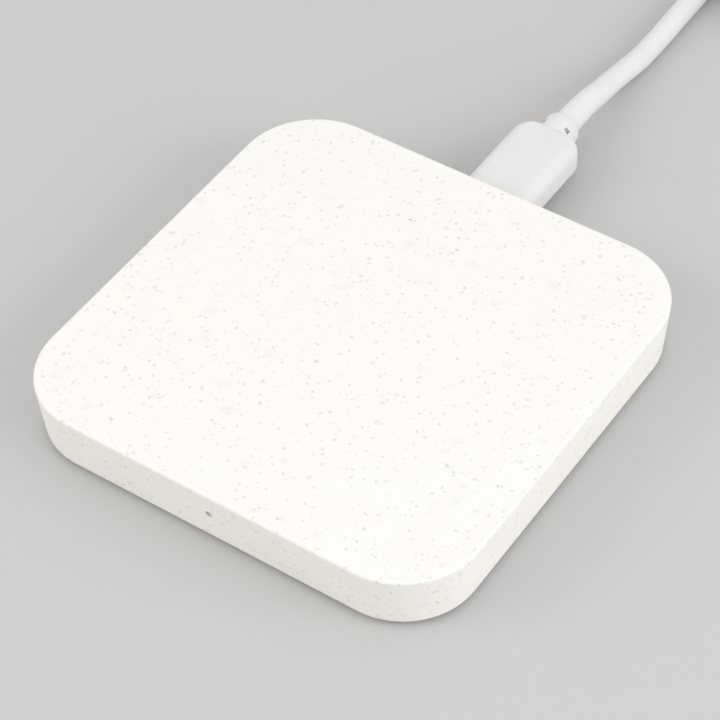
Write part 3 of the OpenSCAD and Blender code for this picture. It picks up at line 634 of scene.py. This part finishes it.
def block(low, high):
    """A straight-edged block between two corners, in millimetres."""
    bm = bmesh.new()
    bmesh.ops.create_cube(bm, size=1.0)
    for vert in bm.verts:
        vert.co = Vector([(low[i] if vert.co[i] < 0 else high[i]) * MM for i in range(3)])
    return bm


def rounded_rectangle(half_w, half_h, radius, steps):
    """Points of a rounded rectangle, anticlockwise, in millimetres."""
    radius = min(radius, half_w, half_h)
    points = []
    for quarter, (sx, sy) in enumerate(((1, 1), (-1, 1), (-1, -1), (1, -1))):
        for k in range(steps + 1):
            a = math.pi / 2 * (quarter + k / steps)
            points.append((
                sx * (half_w - radius) + radius * math.cos(a),
                sy * (half_h - radius) + radius * math.sin(a)))
    return points


def lofted(stations, steps):
    """A shape along +Y through rounded rectangles: (y, half width, half height, edge radius)."""
    bm = bmesh.new()
    rows = []
    for y, half_w, half_h, radius in stations:
        outline = rounded_rectangle(half_w, half_h, radius, steps)
        rows.append([bm.verts.new(mm(x, y, z)) for x, z in outline])
    skin(bm, rows)
    return bm


def arc_points(x, y, radius, start, end, steps):
    """Points of an arc about (x, y) from one angle to another, in degrees."""
    angles = [math.radians(start + (end - start) * i / steps) for i in range(steps + 1)]
    return [(x + radius * math.cos(a), y + radius * math.sin(a)) for a in angles]


def moved(bm, matrix):
    bm.transform(matrix)
    return bm


def shifted(bm, x, y, z):
    return moved(bm, Matrix.Translation(mm(x, y, z)))


# Turns that lay a shape made along z along another axis
ONTO_X = Matrix.Rotation(math.radians(90), 4, "Y")
ONTO_Y = Matrix.Rotation(math.radians(-90), 4, "X")
ONTO_MINUS_Y = Matrix.Rotation(math.radians(90), 4, "X")


def to_mesh(bm):
    bmesh.ops.remove_doubles(bm, verts=bm.verts, dist=1e-7)
    bmesh.ops.recalc_face_normals(bm, faces=bm.faces)
    mesh = bpy.data.meshes.new("part")
    bm.to_mesh(mesh)
    bm.free()
    return mesh


def joined(name, meshes):
    """One mesh from closed ones, with doubled points merged and faces turned outwards."""
    bm = bmesh.new()
    for mesh in meshes:
        bm.from_mesh(mesh)
    bmesh.ops.remove_doubles(bm, verts=bm.verts, dist=1e-8)
    bmesh.ops.recalc_face_normals(bm, faces=bm.faces)
    whole = bpy.data.meshes.new(name)
    bm.to_mesh(whole)
    bm.free()
    return whole


def cut(mesh, *cutters):
    """The mesh with closed shapes taken out of it."""
    body = in_scene("body", mesh)
    tools = [in_scene("cutter", cutter) for cutter in cutters]
    for tool in tools:
        modifier = body.modifiers.new("opening", "BOOLEAN")
        modifier.operation = "DIFFERENCE"
        modifier.solver = "EXACT"
        modifier.object = tool
    graph = bpy.context.evaluated_depsgraph_get()
    result = bpy.data.meshes.new_from_object(body.evaluated_get(graph))
    for item in [body] + tools:
        bpy.data.objects.remove(item)
    return result


def finished_piece(name, mesh, body, nodes, slot, sharp=32):
    """Puts a finished mesh in the scene in place of its CAD nodes."""
    mesh.name = name
    mesh.materials.clear()
    mesh.materials.append(FINISH[slot])
    for face in mesh.polygons:
        face.material_index = 0
    mesh.shade_smooth()
    mesh.set_sharp_from_angle(angle=math.radians(sharp))
    piece = in_scene(name, mesh)
    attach(piece, body)
    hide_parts(*nodes)


def grid_copies(mesh, width, depth):
    """Four copies, one at each corner of a rectangle that is centred on the origin."""
    return grown(COPIES_ON_GRID, mesh, {"Columns": 2, "Rows": 2, "Width": width * MM, "Depth": depth * MM})


# ---- sizes of the pad

pad_low, pad_high = box_mm("top_cover")
base_low, base_high = box_mm("base_cover")
foot_low, foot_high = box_mm("foot_front_left")
screw_low, screw_high = box_mm("base_screws")
board_low, board_high = box_mm("circuit_board")
cgrip_low, cgrip_high = box_mm("usb_c_grip")
crelief_low, crelief_high = box_mm("usb_c_relief")
agrip_low, agrip_high = box_mm("usb_a_grip")
arelief_low, arelief_high = box_mm("usb_a_relief")
coil_low, coil_high = box_mm("cord_coil")
tie_low = box_mm("cord_tie")[0]

PAD_W = pad_high.x - pad_low.x
PAD_D = pad_high.y - pad_low.y
Z_CASE = pad_low.z
Z_TOP = pad_high.z
CORNER_R = 11.8
DRAFT_INSET = 0.65
TOP_EDGE_R = 0.45
BOTTOM_EDGE_R = 0.7
WALL = 1.5
Z_CEILING = Z_TOP - WALL
ROOM_R = CORNER_R - DRAFT_INSET - WALL
ROOM_D = PAD_D - 2 * (DRAFT_INSET + WALL)

# The case's walls are swept round this path, well inside them
CORE_R = 0.4
CORE_W = PAD_W - 2 * CORNER_R + 2 * CORE_R
CORE_D = PAD_D - 2 * CORNER_R + 2 * CORE_R

SCREW_W = abs(foot_low.x + foot_high.x)
SCREW_D = abs(foot_low.y + foot_high.y)
SCREW_SEAT = 2.9
CUP_TOP = 3.9
BASE_T = 1.2
BASE_GAP = 0.15
Z_USB = (cgrip_low.z + cgrip_high.z) / 2
Z_LIGHT = 5.8
LIGHT_HOLE_R = 0.55

BEVEL = 0.15 # on the edges of bosses, ribs and covers
SINK = 0.05 # how far a boss or a rib runs into the wall that carries it
PAST = 0.5 # how far a cutter reaches past the face that it cuts
BEHIND_WALL = ROOM_D / 2 - 1.6 # where the cutters of the wall's openings start


def face_y(z):
    """How far the front and back faces stand from the middle at height z."""
    return PAD_D / 2 - DRAFT_INSET * (1 - (z - Z_CASE) / (Z_TOP - Z_CASE))


def from_core(radius):
    """How far outside the core's path a round of this corner radius lies."""
    return radius - CORE_R


def section(points, closed=False):
    """A section for the sweep, from points of distance outward and height. The sweep turns y down."""
    mesh = bpy.data.meshes.new("section")
    edges = [(i, i + 1) for i in range(len(points) - 1)]
    if closed:
        edges.append((len(points) - 1, 0))
    mesh.from_pydata([mm(x, -z, 0) for x, z in points], edges, [])
    return mesh


def swept(points, core_w, core_d, core_r, caps=None, closed=False, corner_steps=24):
    """A section swept round a rounded rectangle. Caps are the heights of its two flat faces."""
    sizes = {
        "Core Width": core_w * MM, "Core Depth": core_d * MM, "Core Corner Radius": core_r * MM,
        "Corner Steps": corner_steps, "Capped": caps is not None}
    if caps:
        sizes["First Cap Height"] = caps[0] * MM
        sizes["Second Cap Height"] = caps[1] * MM
    return grown(SWEPT_WALL, section(points, closed), sizes)


# ---- the pad

QUARTER_TURN = (0.0, 0.0, math.pi / 2)


def cover_shell():
    """Ceiling, wall and top, with a narrow step beside each round that keeps the flats flat."""
    lean = math.degrees(math.atan2(DRAFT_INSET, Z_TOP - Z_CASE))
    step = 0.12
    inner_r = 0.6
    room = from_core(ROOM_R)
    low_x = from_core(CORNER_R - DRAFT_INSET - BOTTOM_EDGE_R)
    top_x = from_core(CORNER_R - TOP_EDGE_R)
    bottom_round = arc_points(low_x, Z_CASE + BOTTOM_EDGE_R, BOTTOM_EDGE_R, -90, -lean, 8)
    top_round = arc_points(top_x, Z_TOP - TOP_EDGE_R, TOP_EDGE_R, -lean, 90, 8)
    ends = list(zip(bottom_round[-1], top_round[0]))
    side = [[low + (high - low) * share for low, high in ends] for share in (0.02, 0.98)]
    points = [(0, Z_CEILING), (room - inner_r - step, Z_CEILING)]
    points += arc_points(room - inner_r, Z_CEILING - inner_r, inner_r, 90, 0, 5)
    points += [(room, Z_CEILING - inner_r - step), (room, Z_CASE + 0.3), (room, Z_CASE + step)]
    points += [(room + step, Z_CASE), (room + 0.3, Z_CASE), (low_x - step / 2, Z_CASE)]
    points += bottom_round + side + top_round
    points += [(top_x - step, Z_TOP), (0, Z_TOP)]
    return joined("shell", [swept(points, CORE_W, CORE_D, CORE_R, caps=(Z_CEILING, Z_TOP))])


def light_opening():
    face = face_y(Z_LIGHT)
    flare = 0.1
    opening = turned([
        (0, face + PAST), (LIGHT_HOLE_R + flare + PAST, face + PAST), (LIGHT_HOLE_R, face - flare),
        (LIGHT_HOLE_R, BEHIND_WALL), (0, BEHIND_WALL)], 40)
    return to_mesh(shifted(moved(opening, ONTO_MINUS_Y), 0, 0, Z_LIGHT))


def socket_opening():
    half_w = 4.62
    half_h = 1.78
    face = face_y(Z_USB)
    chamfer = 0.18
    flare = chamfer + PAST
    opening = lofted([
        (BEHIND_WALL, half_w, half_h, half_h), (face - chamfer, half_w, half_h, half_h),
        (face + PAST, half_w + flare, half_h + flare, half_h + flare)], 12)
    return to_mesh(shifted(opening, 0, 0, Z_USB))


def screw_bosses():
    r = 2.5
    low = CUP_TOP + 0.1
    high = Z_CEILING + SINK
    hole_r = 1.02
    hole_end = 8.0
    boss = turned([
        (hole_r, low), (r - BEVEL, low), (r, low + BEVEL), (r, high), (0, high), (0, hole_end),
        (hole_r, hole_end)], 40)
    return grid_copies(to_mesh(boss), SCREW_W, SCREW_D)


def coil_ribs():
    """Four curved ribs that centre the coil and its ferrite disc."""
    inner_r = 25.3
    outer_r = 26.1
    low = 5.75
    high = Z_CEILING + SINK
    corners = (
        (inner_r, low + BEVEL), (inner_r, high), (outer_r, high), (outer_r, low + BEVEL),
        (outer_r - BEVEL, low), (inner_r + BEVEL, low))
    bm = bmesh.new()
    rows = []
    for degrees in range(25, 66, 4):
        a = math.radians(degrees)
        rows.append([bm.verts.new(mm(r * math.cos(a), r * math.sin(a), z)) for r, z in corners])
    skin(bm, rows)
    return grown(STEPPED_COPIES, to_mesh(bm), {"Count": 4, "Turn": QUARTER_TURN})


def light_sleeve():
    r = 1.25
    length = 1.0
    sleeve = turned([
        (LIGHT_HOLE_R, 0), (r - BEVEL, 0), (r, BEVEL), (r, length + SINK),
        (LIGHT_HOLE_R, length + SINK)], 40, ring=True)
    return to_mesh(shifted(moved(sleeve, ONTO_MINUS_Y), 0, length - ROOM_D / 2, Z_LIGHT))


def make_top_cover():
    shell = cut(cover_shell(), light_opening(), socket_opening())
    whole = joined("top_cover", [shell, screw_bosses(), coil_ribs(), light_sleeve()])
    finished_piece("moulded_top_cover", whole, "pad", ["top_cover"], "wheat_plastic")


def make_base_cover():
    """Plate with recesses for the feet, cups that hold the screws, and pegs that hold the board."""
    under = base_low.z
    inside = under + BASE_T
    rooted = inside - 0.3
    edge = from_core(ROOM_R - BASE_GAP)
    points = [
        (0, under), (edge - 2 * BEVEL, under), (edge - BEVEL, under), (edge - 0.04, under + 0.05),
        (edge, under + BEVEL), (edge, inside - BEVEL), (edge - BEVEL, inside), (0, inside)]
    plate = joined("plate", [swept(points, CORE_W, CORE_D, CORE_R, caps=(under, inside))])

    seat_r = 5.1
    seat = under + 0.4
    head_r = 2.1
    recess = turned([
        (0, under - PAST), (seat_r + PAST, under - PAST), (seat_r, under + 0.05), (seat_r, seat),
        (head_r, seat), (head_r, inside + PAST), (0, inside + PAST)], 64)
    plate = cut(plate, grid_copies(to_mesh(recess), SCREW_W, SCREW_D))

    cup_r = 3.2
    shank_r = 1.2
    cup = turned([
        (head_r, rooted), (cup_r, rooted), (cup_r, CUP_TOP - BEVEL), (cup_r - BEVEL, CUP_TOP),
        (shank_r, CUP_TOP), (shank_r, SCREW_SEAT), (head_r, SCREW_SEAT)], 48, ring=True)
    cups = grid_copies(to_mesh(cup), SCREW_W, SCREW_D)

    foot_r = 2.0
    peg_r = 0.8
    stake_r = 1.4
    peg_w = 35
    peg_from_end = 4
    low = board_low.z
    high = board_high.z
    peg = turned([
        (0, rooted), (foot_r, rooted), (foot_r, low - 0.1), (foot_r - 0.1, low), (peg_r, low),
        (peg_r, high), (stake_r - 0.1, high), (stake_r, high + 0.12), (stake_r - 0.1, high + 0.32),
        (1.0, high + 0.46), (0.5, base_high.z - 0.02), (0, base_high.z)], 32)
    pegs = grid_copies(to_mesh(peg), peg_w, board_high.y - board_low.y - 2 * peg_from_end)
    whole = joined("base_cover", [plate, cups, pegs])
    finished_piece("moulded_base_cover", whole, "pad", ["base_cover"], "wheat_plastic")


def make_feet():
    """Silicone discs with a softened edge, a shallow dish and a fine raised rim."""
    r = (foot_high.x - foot_low.x) / 2
    top = foot_high.z
    edge_r = 0.3
    dish = 0.09
    outline = [(0, dish), (r - 1.6, dish), (r - 1.35, 0.07), (r - 1.1, 0.0), (r - 0.45, 0.0)]
    outline += arc_points(r - edge_r, edge_r, edge_r, -90, 0, 6)[1:]
    outline += [(r, 0.42), (r, top - 0.12), (r - 0.1, top), (0, top)]
    feet = grid_copies(to_mesh(turned(outline, 72)), SCREW_W, SCREW_D)
    nodes = ["foot_front_left", "foot_front_right", "foot_rear_left", "foot_rear_right"]
    finished_piece("silicone_feet", joined("feet", [feet]), "pad", nodes, "foot_silicone")


def make_screws():
    """Pan-head screws with a cross recess, and a fine thread of rings on the shank."""
    low = screw_low.z
    tip = screw_high.z
    outline = [
        (0, low), (1.35, low), (1.7, low + 0.12), (1.88, low + 0.4), (1.9, SCREW_SEAT - 0.15),
        (1.85, SCREW_SEAT)]
    core_r = 0.8
    thread_r = 1.0
    thread_pitch = 0.42
    outline.append((core_r, SCREW_SEAT))
    z = SCREW_SEAT + 0.3
    while z < tip - 1.1:
        outline += [(core_r, z), (thread_r, z + 0.18), (core_r, z + 0.36)]
        z += thread_pitch
    outline += [(core_r, tip - 0.7), (0.4, tip), (0, tip)]
    screw = to_mesh(turned(outline, 32))
    arm = 1.1
    arm_half_w = 0.3
    depth = 0.7
    arms = [
        to_mesh(block((-half_x, -half_y, low - PAST), (half_x, half_y, low + depth)))
        for half_x, half_y in ((arm, arm_half_w), (arm_half_w, arm))]
    screws = grid_copies(cut(screw, *arms), SCREW_W, SCREW_D)
    finished_piece("cross_recess_screws", joined("screws", [screws]), "pad", ["base_screws"], "screw_steel")


# ---- the plugs

def grip_stations(length, half_w, half_h, edge_r, front_r, rear_r, soft_r):
    """Stations of a grip: rounded in plan at the front and rear, with softened end edges."""
    front = arc_points(front_r, half_w - front_r, front_r, 180, 90, 6)
    middle = [front_r + 0.4, length / 3, length / 2, length * 2 / 3, length - rear_r - 0.3]
    rear = arc_points(length - rear_r, half_w - rear_r, rear_r, 90, 0, 16)
    stations = []
    for y, width in front + [(y, half_w) for y in middle] + rear:
        from_end = min(y, length - y, soft_r)
        height = half_h - soft_r + math.sqrt(max(0, soft_r ** 2 - (soft_r - from_end) ** 2))
        stations.append((y, width, height, min(edge_r, height, width)))
    return stations


def make_usb_c_grip():
    length = cgrip_high.y - cgrip_low.y
    half_w = (cgrip_high.x - cgrip_low.x) / 2
    half_h = (cgrip_high.z - cgrip_low.z) / 2
    grip = lofted(grip_stations(length, half_w, half_h, 2.0, 0.9, 2.8, 1.0), 10)
    grip = to_mesh(shifted(grip, 0, cgrip_low.y, Z_USB))
    finished_piece("usb_c_moulded_grip", grip, "cable", ["usb_c_grip"], "grip_plastic", 40)


def make_usb_c_relief():
    """Collar behind the grip: a neck, a rounded shoulder, and four notches on the diagonals."""
    length = crelief_high.y - crelief_low.y
    r = (crelief_high.x - crelief_low.x) / 2
    tip_r = 2.2
    shoulder_turn = 60
    shoulder_r = (r - tip_r) / (1 - math.cos(math.radians(shoulder_turn)))
    neck = length - shoulder_r * math.sin(math.radians(shoulder_turn))
    in_grip = 0.8
    outline = [(0, -in_grip), (r, -in_grip), (r, neck * 0.5)]
    outline += arc_points(r - shoulder_r, neck, shoulder_r, 0, shoulder_turn, 10)
    outline += [(CORD_D / 2 / MM + 0.06, length), (0, length)]
    collar = to_mesh(turned(outline, 72))
    notch = to_mesh(block((2.2, -0.45, 0.6), (5, 0.45, 1.4)))
    notches = grown(STEPPED_COPIES, notch, {"Count": 4, "Turn": QUARTER_TURN})
    notches.transform(Matrix.Rotation(math.radians(45), 4, "Z"))
    collar = joined("collar", [cut(collar, notches)])
    middle_x = (crelief_high.x + crelief_low.x) / 2
    collar.transform(Matrix.Translation(mm(middle_x, crelief_low.y, Z_USB)) @ ONTO_Y)
    finished_piece("usb_c_strain_relief", collar, "cable", ["usb_c_relief"], "grip_plastic", 40)


A_AXIS_Y = (agrip_low.y + agrip_high.y) / 2
A_AXIS_Z = (agrip_low.z + agrip_high.z) / 2


def on_usb_a_axis(x, turn):
    """Turns a shape and takes it to the second plug's axis at x."""
    return Matrix.Translation(mm(x, A_AXIS_Y, A_AXIS_Z)) @ turn


def make_usb_a_grip():
    length = agrip_high.x - agrip_low.x
    half_w = (agrip_high.y - agrip_low.y) / 2
    half_h = (agrip_high.z - agrip_low.z) / 2
    grip = lofted(grip_stations(length, half_w, half_h, 2.4, 2.5, 2.5, 0.6), 10)
    grip.transform(on_usb_a_axis(agrip_low.x, Matrix.Rotation(math.radians(-90), 4, "Z")))
    finished_piece("usb_a_moulded_grip", to_mesh(grip), "cable", ["usb_a_grip"], "grip_plastic", 40)


def make_usb_a_relief():
    """Ribbed tail of the second plug: a tapered core with rings that grow toward the grip."""
    length = arelief_high.x - arelief_low.x
    in_grip = 0.6
    core = to_mesh(turned([
        (0, 0), (2.25, 0), (2.4, 0.12), (2.4, 1.25), (2.25, 1.4), (2.05, 1.45), (2.2, length - 0.9),
        (2.9, length - 0.7), (3.0, length - 0.5), (3.0, length + in_grip), (0, length + in_grip)], 56))
    root_r = 1.9
    ring_r = 2.35
    half_l = 0.65
    edge_r = 0.2
    outline = [(root_r, -half_l), (ring_r, -half_l)]
    outline += arc_points(ring_r, edge_r - half_l, edge_r, -90, 0, 4)
    outline += arc_points(ring_r, half_l - edge_r, edge_r, 0, 90, 4)
    outline.append((root_r, half_l))
    ribs = grown(STEPPED_COPIES, to_mesh(turned(outline, 56, ring=True)), {
        "Count": 2, "Step": (0.0, 0.0, 2.1 * MM), "Growth": (0.08, 0.08, 0.0)})
    ribs.transform(Matrix.Translation(mm(0, 0, 2.85)))
    relief = joined("relief", [core, ribs])
    relief.transform(on_usb_a_axis(arelief_low.x, ONTO_X))
    finished_piece("usb_a_strain_relief", relief, "cable", ["usb_a_relief"], "grip_plastic", 40)


# ---- the cord and its tie

CORD_D = 3.6 * MM
CORD_PITCH = 3.7 * MM
COIL_COLUMNS = 3
COIL_LAYERS = 2
POINTS_A_TURN = 24
CROSSING_STARTS = 0.8 # the share of a turn after which the cord crosses to its next place
OUTER_TURN_R = (coil_high.x - coil_low.x) / 2 * MM - CORD_PITCH / 2
COIL_MIDDLE = (coil_low + coil_high) / 2 * MM
CORD_START = mm((crelief_low.x + crelief_high.x) / 2, crelief_high.y, Z_USB)

# The route to the coil and from the coil to the second plug: x, y from the end of the strain
# relief, and height above a cord that lies on the floor, in millimetres
EXIT_X = CORD_START.x / MM
PLUG_LIFT = (CORD_START.z - CORD_D / 2) / MM
APLUG_LIFT = A_AXIS_Z - CORD_D / 2 / MM
UPPER_TURN_LIFT = coil_low.z + (COIL_LAYERS - 0.5) * CORD_PITCH / MM - CORD_D / 2 / MM
COIL_FROM_RELIEF = (COIL_MIDDLE.y - CORD_START.y) / MM
MEET_L = math.sqrt((OUTER_TURN_R + CORD_PITCH / 2) ** 2 - OUTER_TURN_R ** 2) / MM
LEAD_ROUTE = [
    (EXIT_X, 0, PLUG_LIFT), (EXIT_X, 2, PLUG_LIFT), (-0.2, 6.6, 2.8), (-0.1, 10.3, 2.2),
    (-0.2, 14.3, 1.4), (-0.2, 18.3, 0.6), (0, 22.3, 0.1), (0.1, 28, 0), (0, 36, 0), (0, 44, 0),
    (0.1, 49, 0.3), (0.3, COIL_FROM_RELIEF - MEET_L, 0.5)]
TAIL_ROUTE = [
    (0.3, COIL_FROM_RELIEF + MEET_L, UPPER_TURN_LIFT), (0.3, 77.6, 3.7), (0.3, 82.6, 2),
    (0.3, 87.6, 0.6), (0.9, 92.6, 0.1), (3.2, 97.1, 0.3), (6, 99.1, 1.2), (9.5, 99.6, APLUG_LIFT),
    (11, 99.6, APLUG_LIFT)]


def on_route(step):
    x, y, lift = step
    return Vector((x * MM, CORD_START.y + y * MM, CORD_D / 2 + lift * MM))


def ease(t):
    return t * t * (3 - 2 * t)


def coil_turns():
    """Centres of the cord's turns: three side by side going in, then three on top going out."""
    columns = list(range(COIL_COLUMNS)) + list(reversed(range(COIL_COLUMNS)))
    spots = [(column, i // COIL_COLUMNS) for i, column in enumerate(columns)]
    points = []
    for i in range(len(spots) * POINTS_A_TURN + 1):
        turn, part = divmod(i / POINTS_A_TURN, 1)
        here = spots[min(int(turn), len(spots) - 1)]
        after = spots[min(int(turn) + 1, len(spots) - 1)]
        cross = ease(max(0, part - CROSSING_STARTS) / (1 - CROSSING_STARTS))
        column = here[0] + (after[0] - here[0]) * cross
        layer = here[1] + (after[1] - here[1]) * cross
        angle = math.pi * (1 - 2 * part)
        radius = OUTER_TURN_R - column * CORD_PITCH
        points.append(Vector((
            COIL_MIDDLE.x + radius * math.cos(angle),
            COIL_MIDDLE.y + radius * math.sin(angle),
            coil_low.z * MM + (layer + 0.5) * CORD_PITCH)))
    return points


def make_cord():
    """One smooth curve from plug to plug, a little thicker where the relief's sleeve ends."""
    inside = 1.2 * MM
    swell = 0.18
    swell_l = 13 * MM
    start = on_route(LEAD_ROUTE[0]) - Vector((0, inside, 0))
    end = on_route(TAIL_ROUTE[-1]) + Vector((inside, 0, 0))
    lead = [on_route(step) for step in LEAD_ROUTE]
    tail = [on_route(step) for step in TAIL_ROUTE]
    points = [start] + lead + coil_turns() + tail + [end]
    for point in points:
        point.z = max(point.z, CORD_D / 2 + 0.06 * MM)
    curve = bpy.data.curves.new("charging_cord", "CURVE")
    curve.dimensions = "3D"
    curve.bevel_depth = CORD_D / 2
    curve.bevel_resolution = 7
    curve.resolution_u = 6
    curve.use_fill_caps = True
    curve.twist_mode = "MINIMUM"
    spline = curve.splines.new("BEZIER")
    spline.bezier_points.add(len(points) - 1)
    for knot, place in zip(spline.bezier_points, points):
        knot.co = place
        knot.handle_left_type = knot.handle_right_type = "AUTO"
        knot.radius = 1 + swell * max(0, 1 - abs(place.y - CORD_START.y) / swell_l)
    curve.materials.append(FINISH["cord_jacket"])
    cord = in_scene("charging_cord", curve)
    length = sum((b - a).length for a, b in zip(points, points[1:]))
    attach(cord, "cable")
    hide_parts("cord_lead", "cord_coil", "cord_tail")
    return cord, length


def make_tie():
    """A woven strap round the coil, swept round the bundle and bent along it."""
    bundle_w = COIL_COLUMNS * CORD_PITCH / MM
    bundle_h = COIL_LAYERS * CORD_PITCH / MM
    radius = CORD_D / 2 / MM
    thick = 0.5
    half_w = 3.0
    strap = [
        (0.0, 0.1 - half_w), (0.1, -half_w), (thick - 0.12, -half_w), (thick, 0.14 - half_w),
        (thick, 0.0), (thick, half_w - 0.14), (thick - 0.12, half_w), (0.1, half_w), (0.0, half_w - 0.1)]
    mesh = swept(strap, bundle_w, bundle_h, radius, closed=True, corner_steps=10)
    mesh = joined("strap", [mesh])
    around = mesh.uv_layers.new(name="strap")
    middle_r = (OUTER_TURN_R - CORD_PITCH) / MM
    turn = math.radians(-60)
    for face in mesh.polygons:
        for loop in face.loop_indices:
            place = mesh.vertices[mesh.loops[loop].vertex_index].co
            along = max(abs(place.x) / bundle_w, abs(place.y) / bundle_h)
            run = place.x if abs(place.y) / bundle_h >= along else place.y
            around.data[loop].uv = (run, place.z)
    for vert in mesh.vertices:
        out, up, along = vert.co / MM
        angle = turn + along / (OUTER_TURN_R / MM)
        reach = middle_r + out
        vert.co = mm(
            COIL_MIDDLE.x / MM + reach * math.cos(angle), COIL_MIDDLE.y / MM + reach * math.sin(angle),
            tie_low.z + thick + bundle_h / 2 + up)
    finished_piece("woven_cord_tie", joined("tie", [mesh]), "cable", ["cord_tie"], "tie_strap", 50)


# ---- putting it together

def paint(names, slot):
    """Gives CAD nodes that stay a finish of their own."""
    for name in names.split():
        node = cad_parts[name]
        if len(node.material_slots) == 0:
            node.data.materials.append(FINISH[slot])
        for holder in node.material_slots:
            holder.material = FINISH[slot]


add_camera()
add_studio()
cord, cord_length = make_cord()
add_floor()
make_top_cover()
make_base_cover()
make_feet()
make_screws()
make_usb_c_grip()
make_usb_c_relief()
make_usb_a_grip()
make_usb_a_relief()
make_tie()

paint("usb_c_socket_shell usb_c_plug_shell usb_a_shell", "plated_steel")
paint("usb_c_socket_contacts usb_c_plug_contacts usb_a_contacts", "gold_contacts")
paint("usb_c_socket_tongue usb_c_plug_insulator", "connector_black")
paint("usb_a_tongue", "connector_white")
paint("charging_coil", "copper_wire")
paint("coil_tape", "adhesive_tape")
paint("coil_bond", "adhesive_film")
paint("ferrite_disc filter_inductor", "ferrite")
paint("circuit_board", "board_green")
paint("control_chip bridge_chips chip_resistors thermistor", "chip_black")
paint("resonant_capacitors chip_capacitors", "ceramic_tan")
paint("status_led", "led_lens")
paint("light_pipe", "clear_plastic")
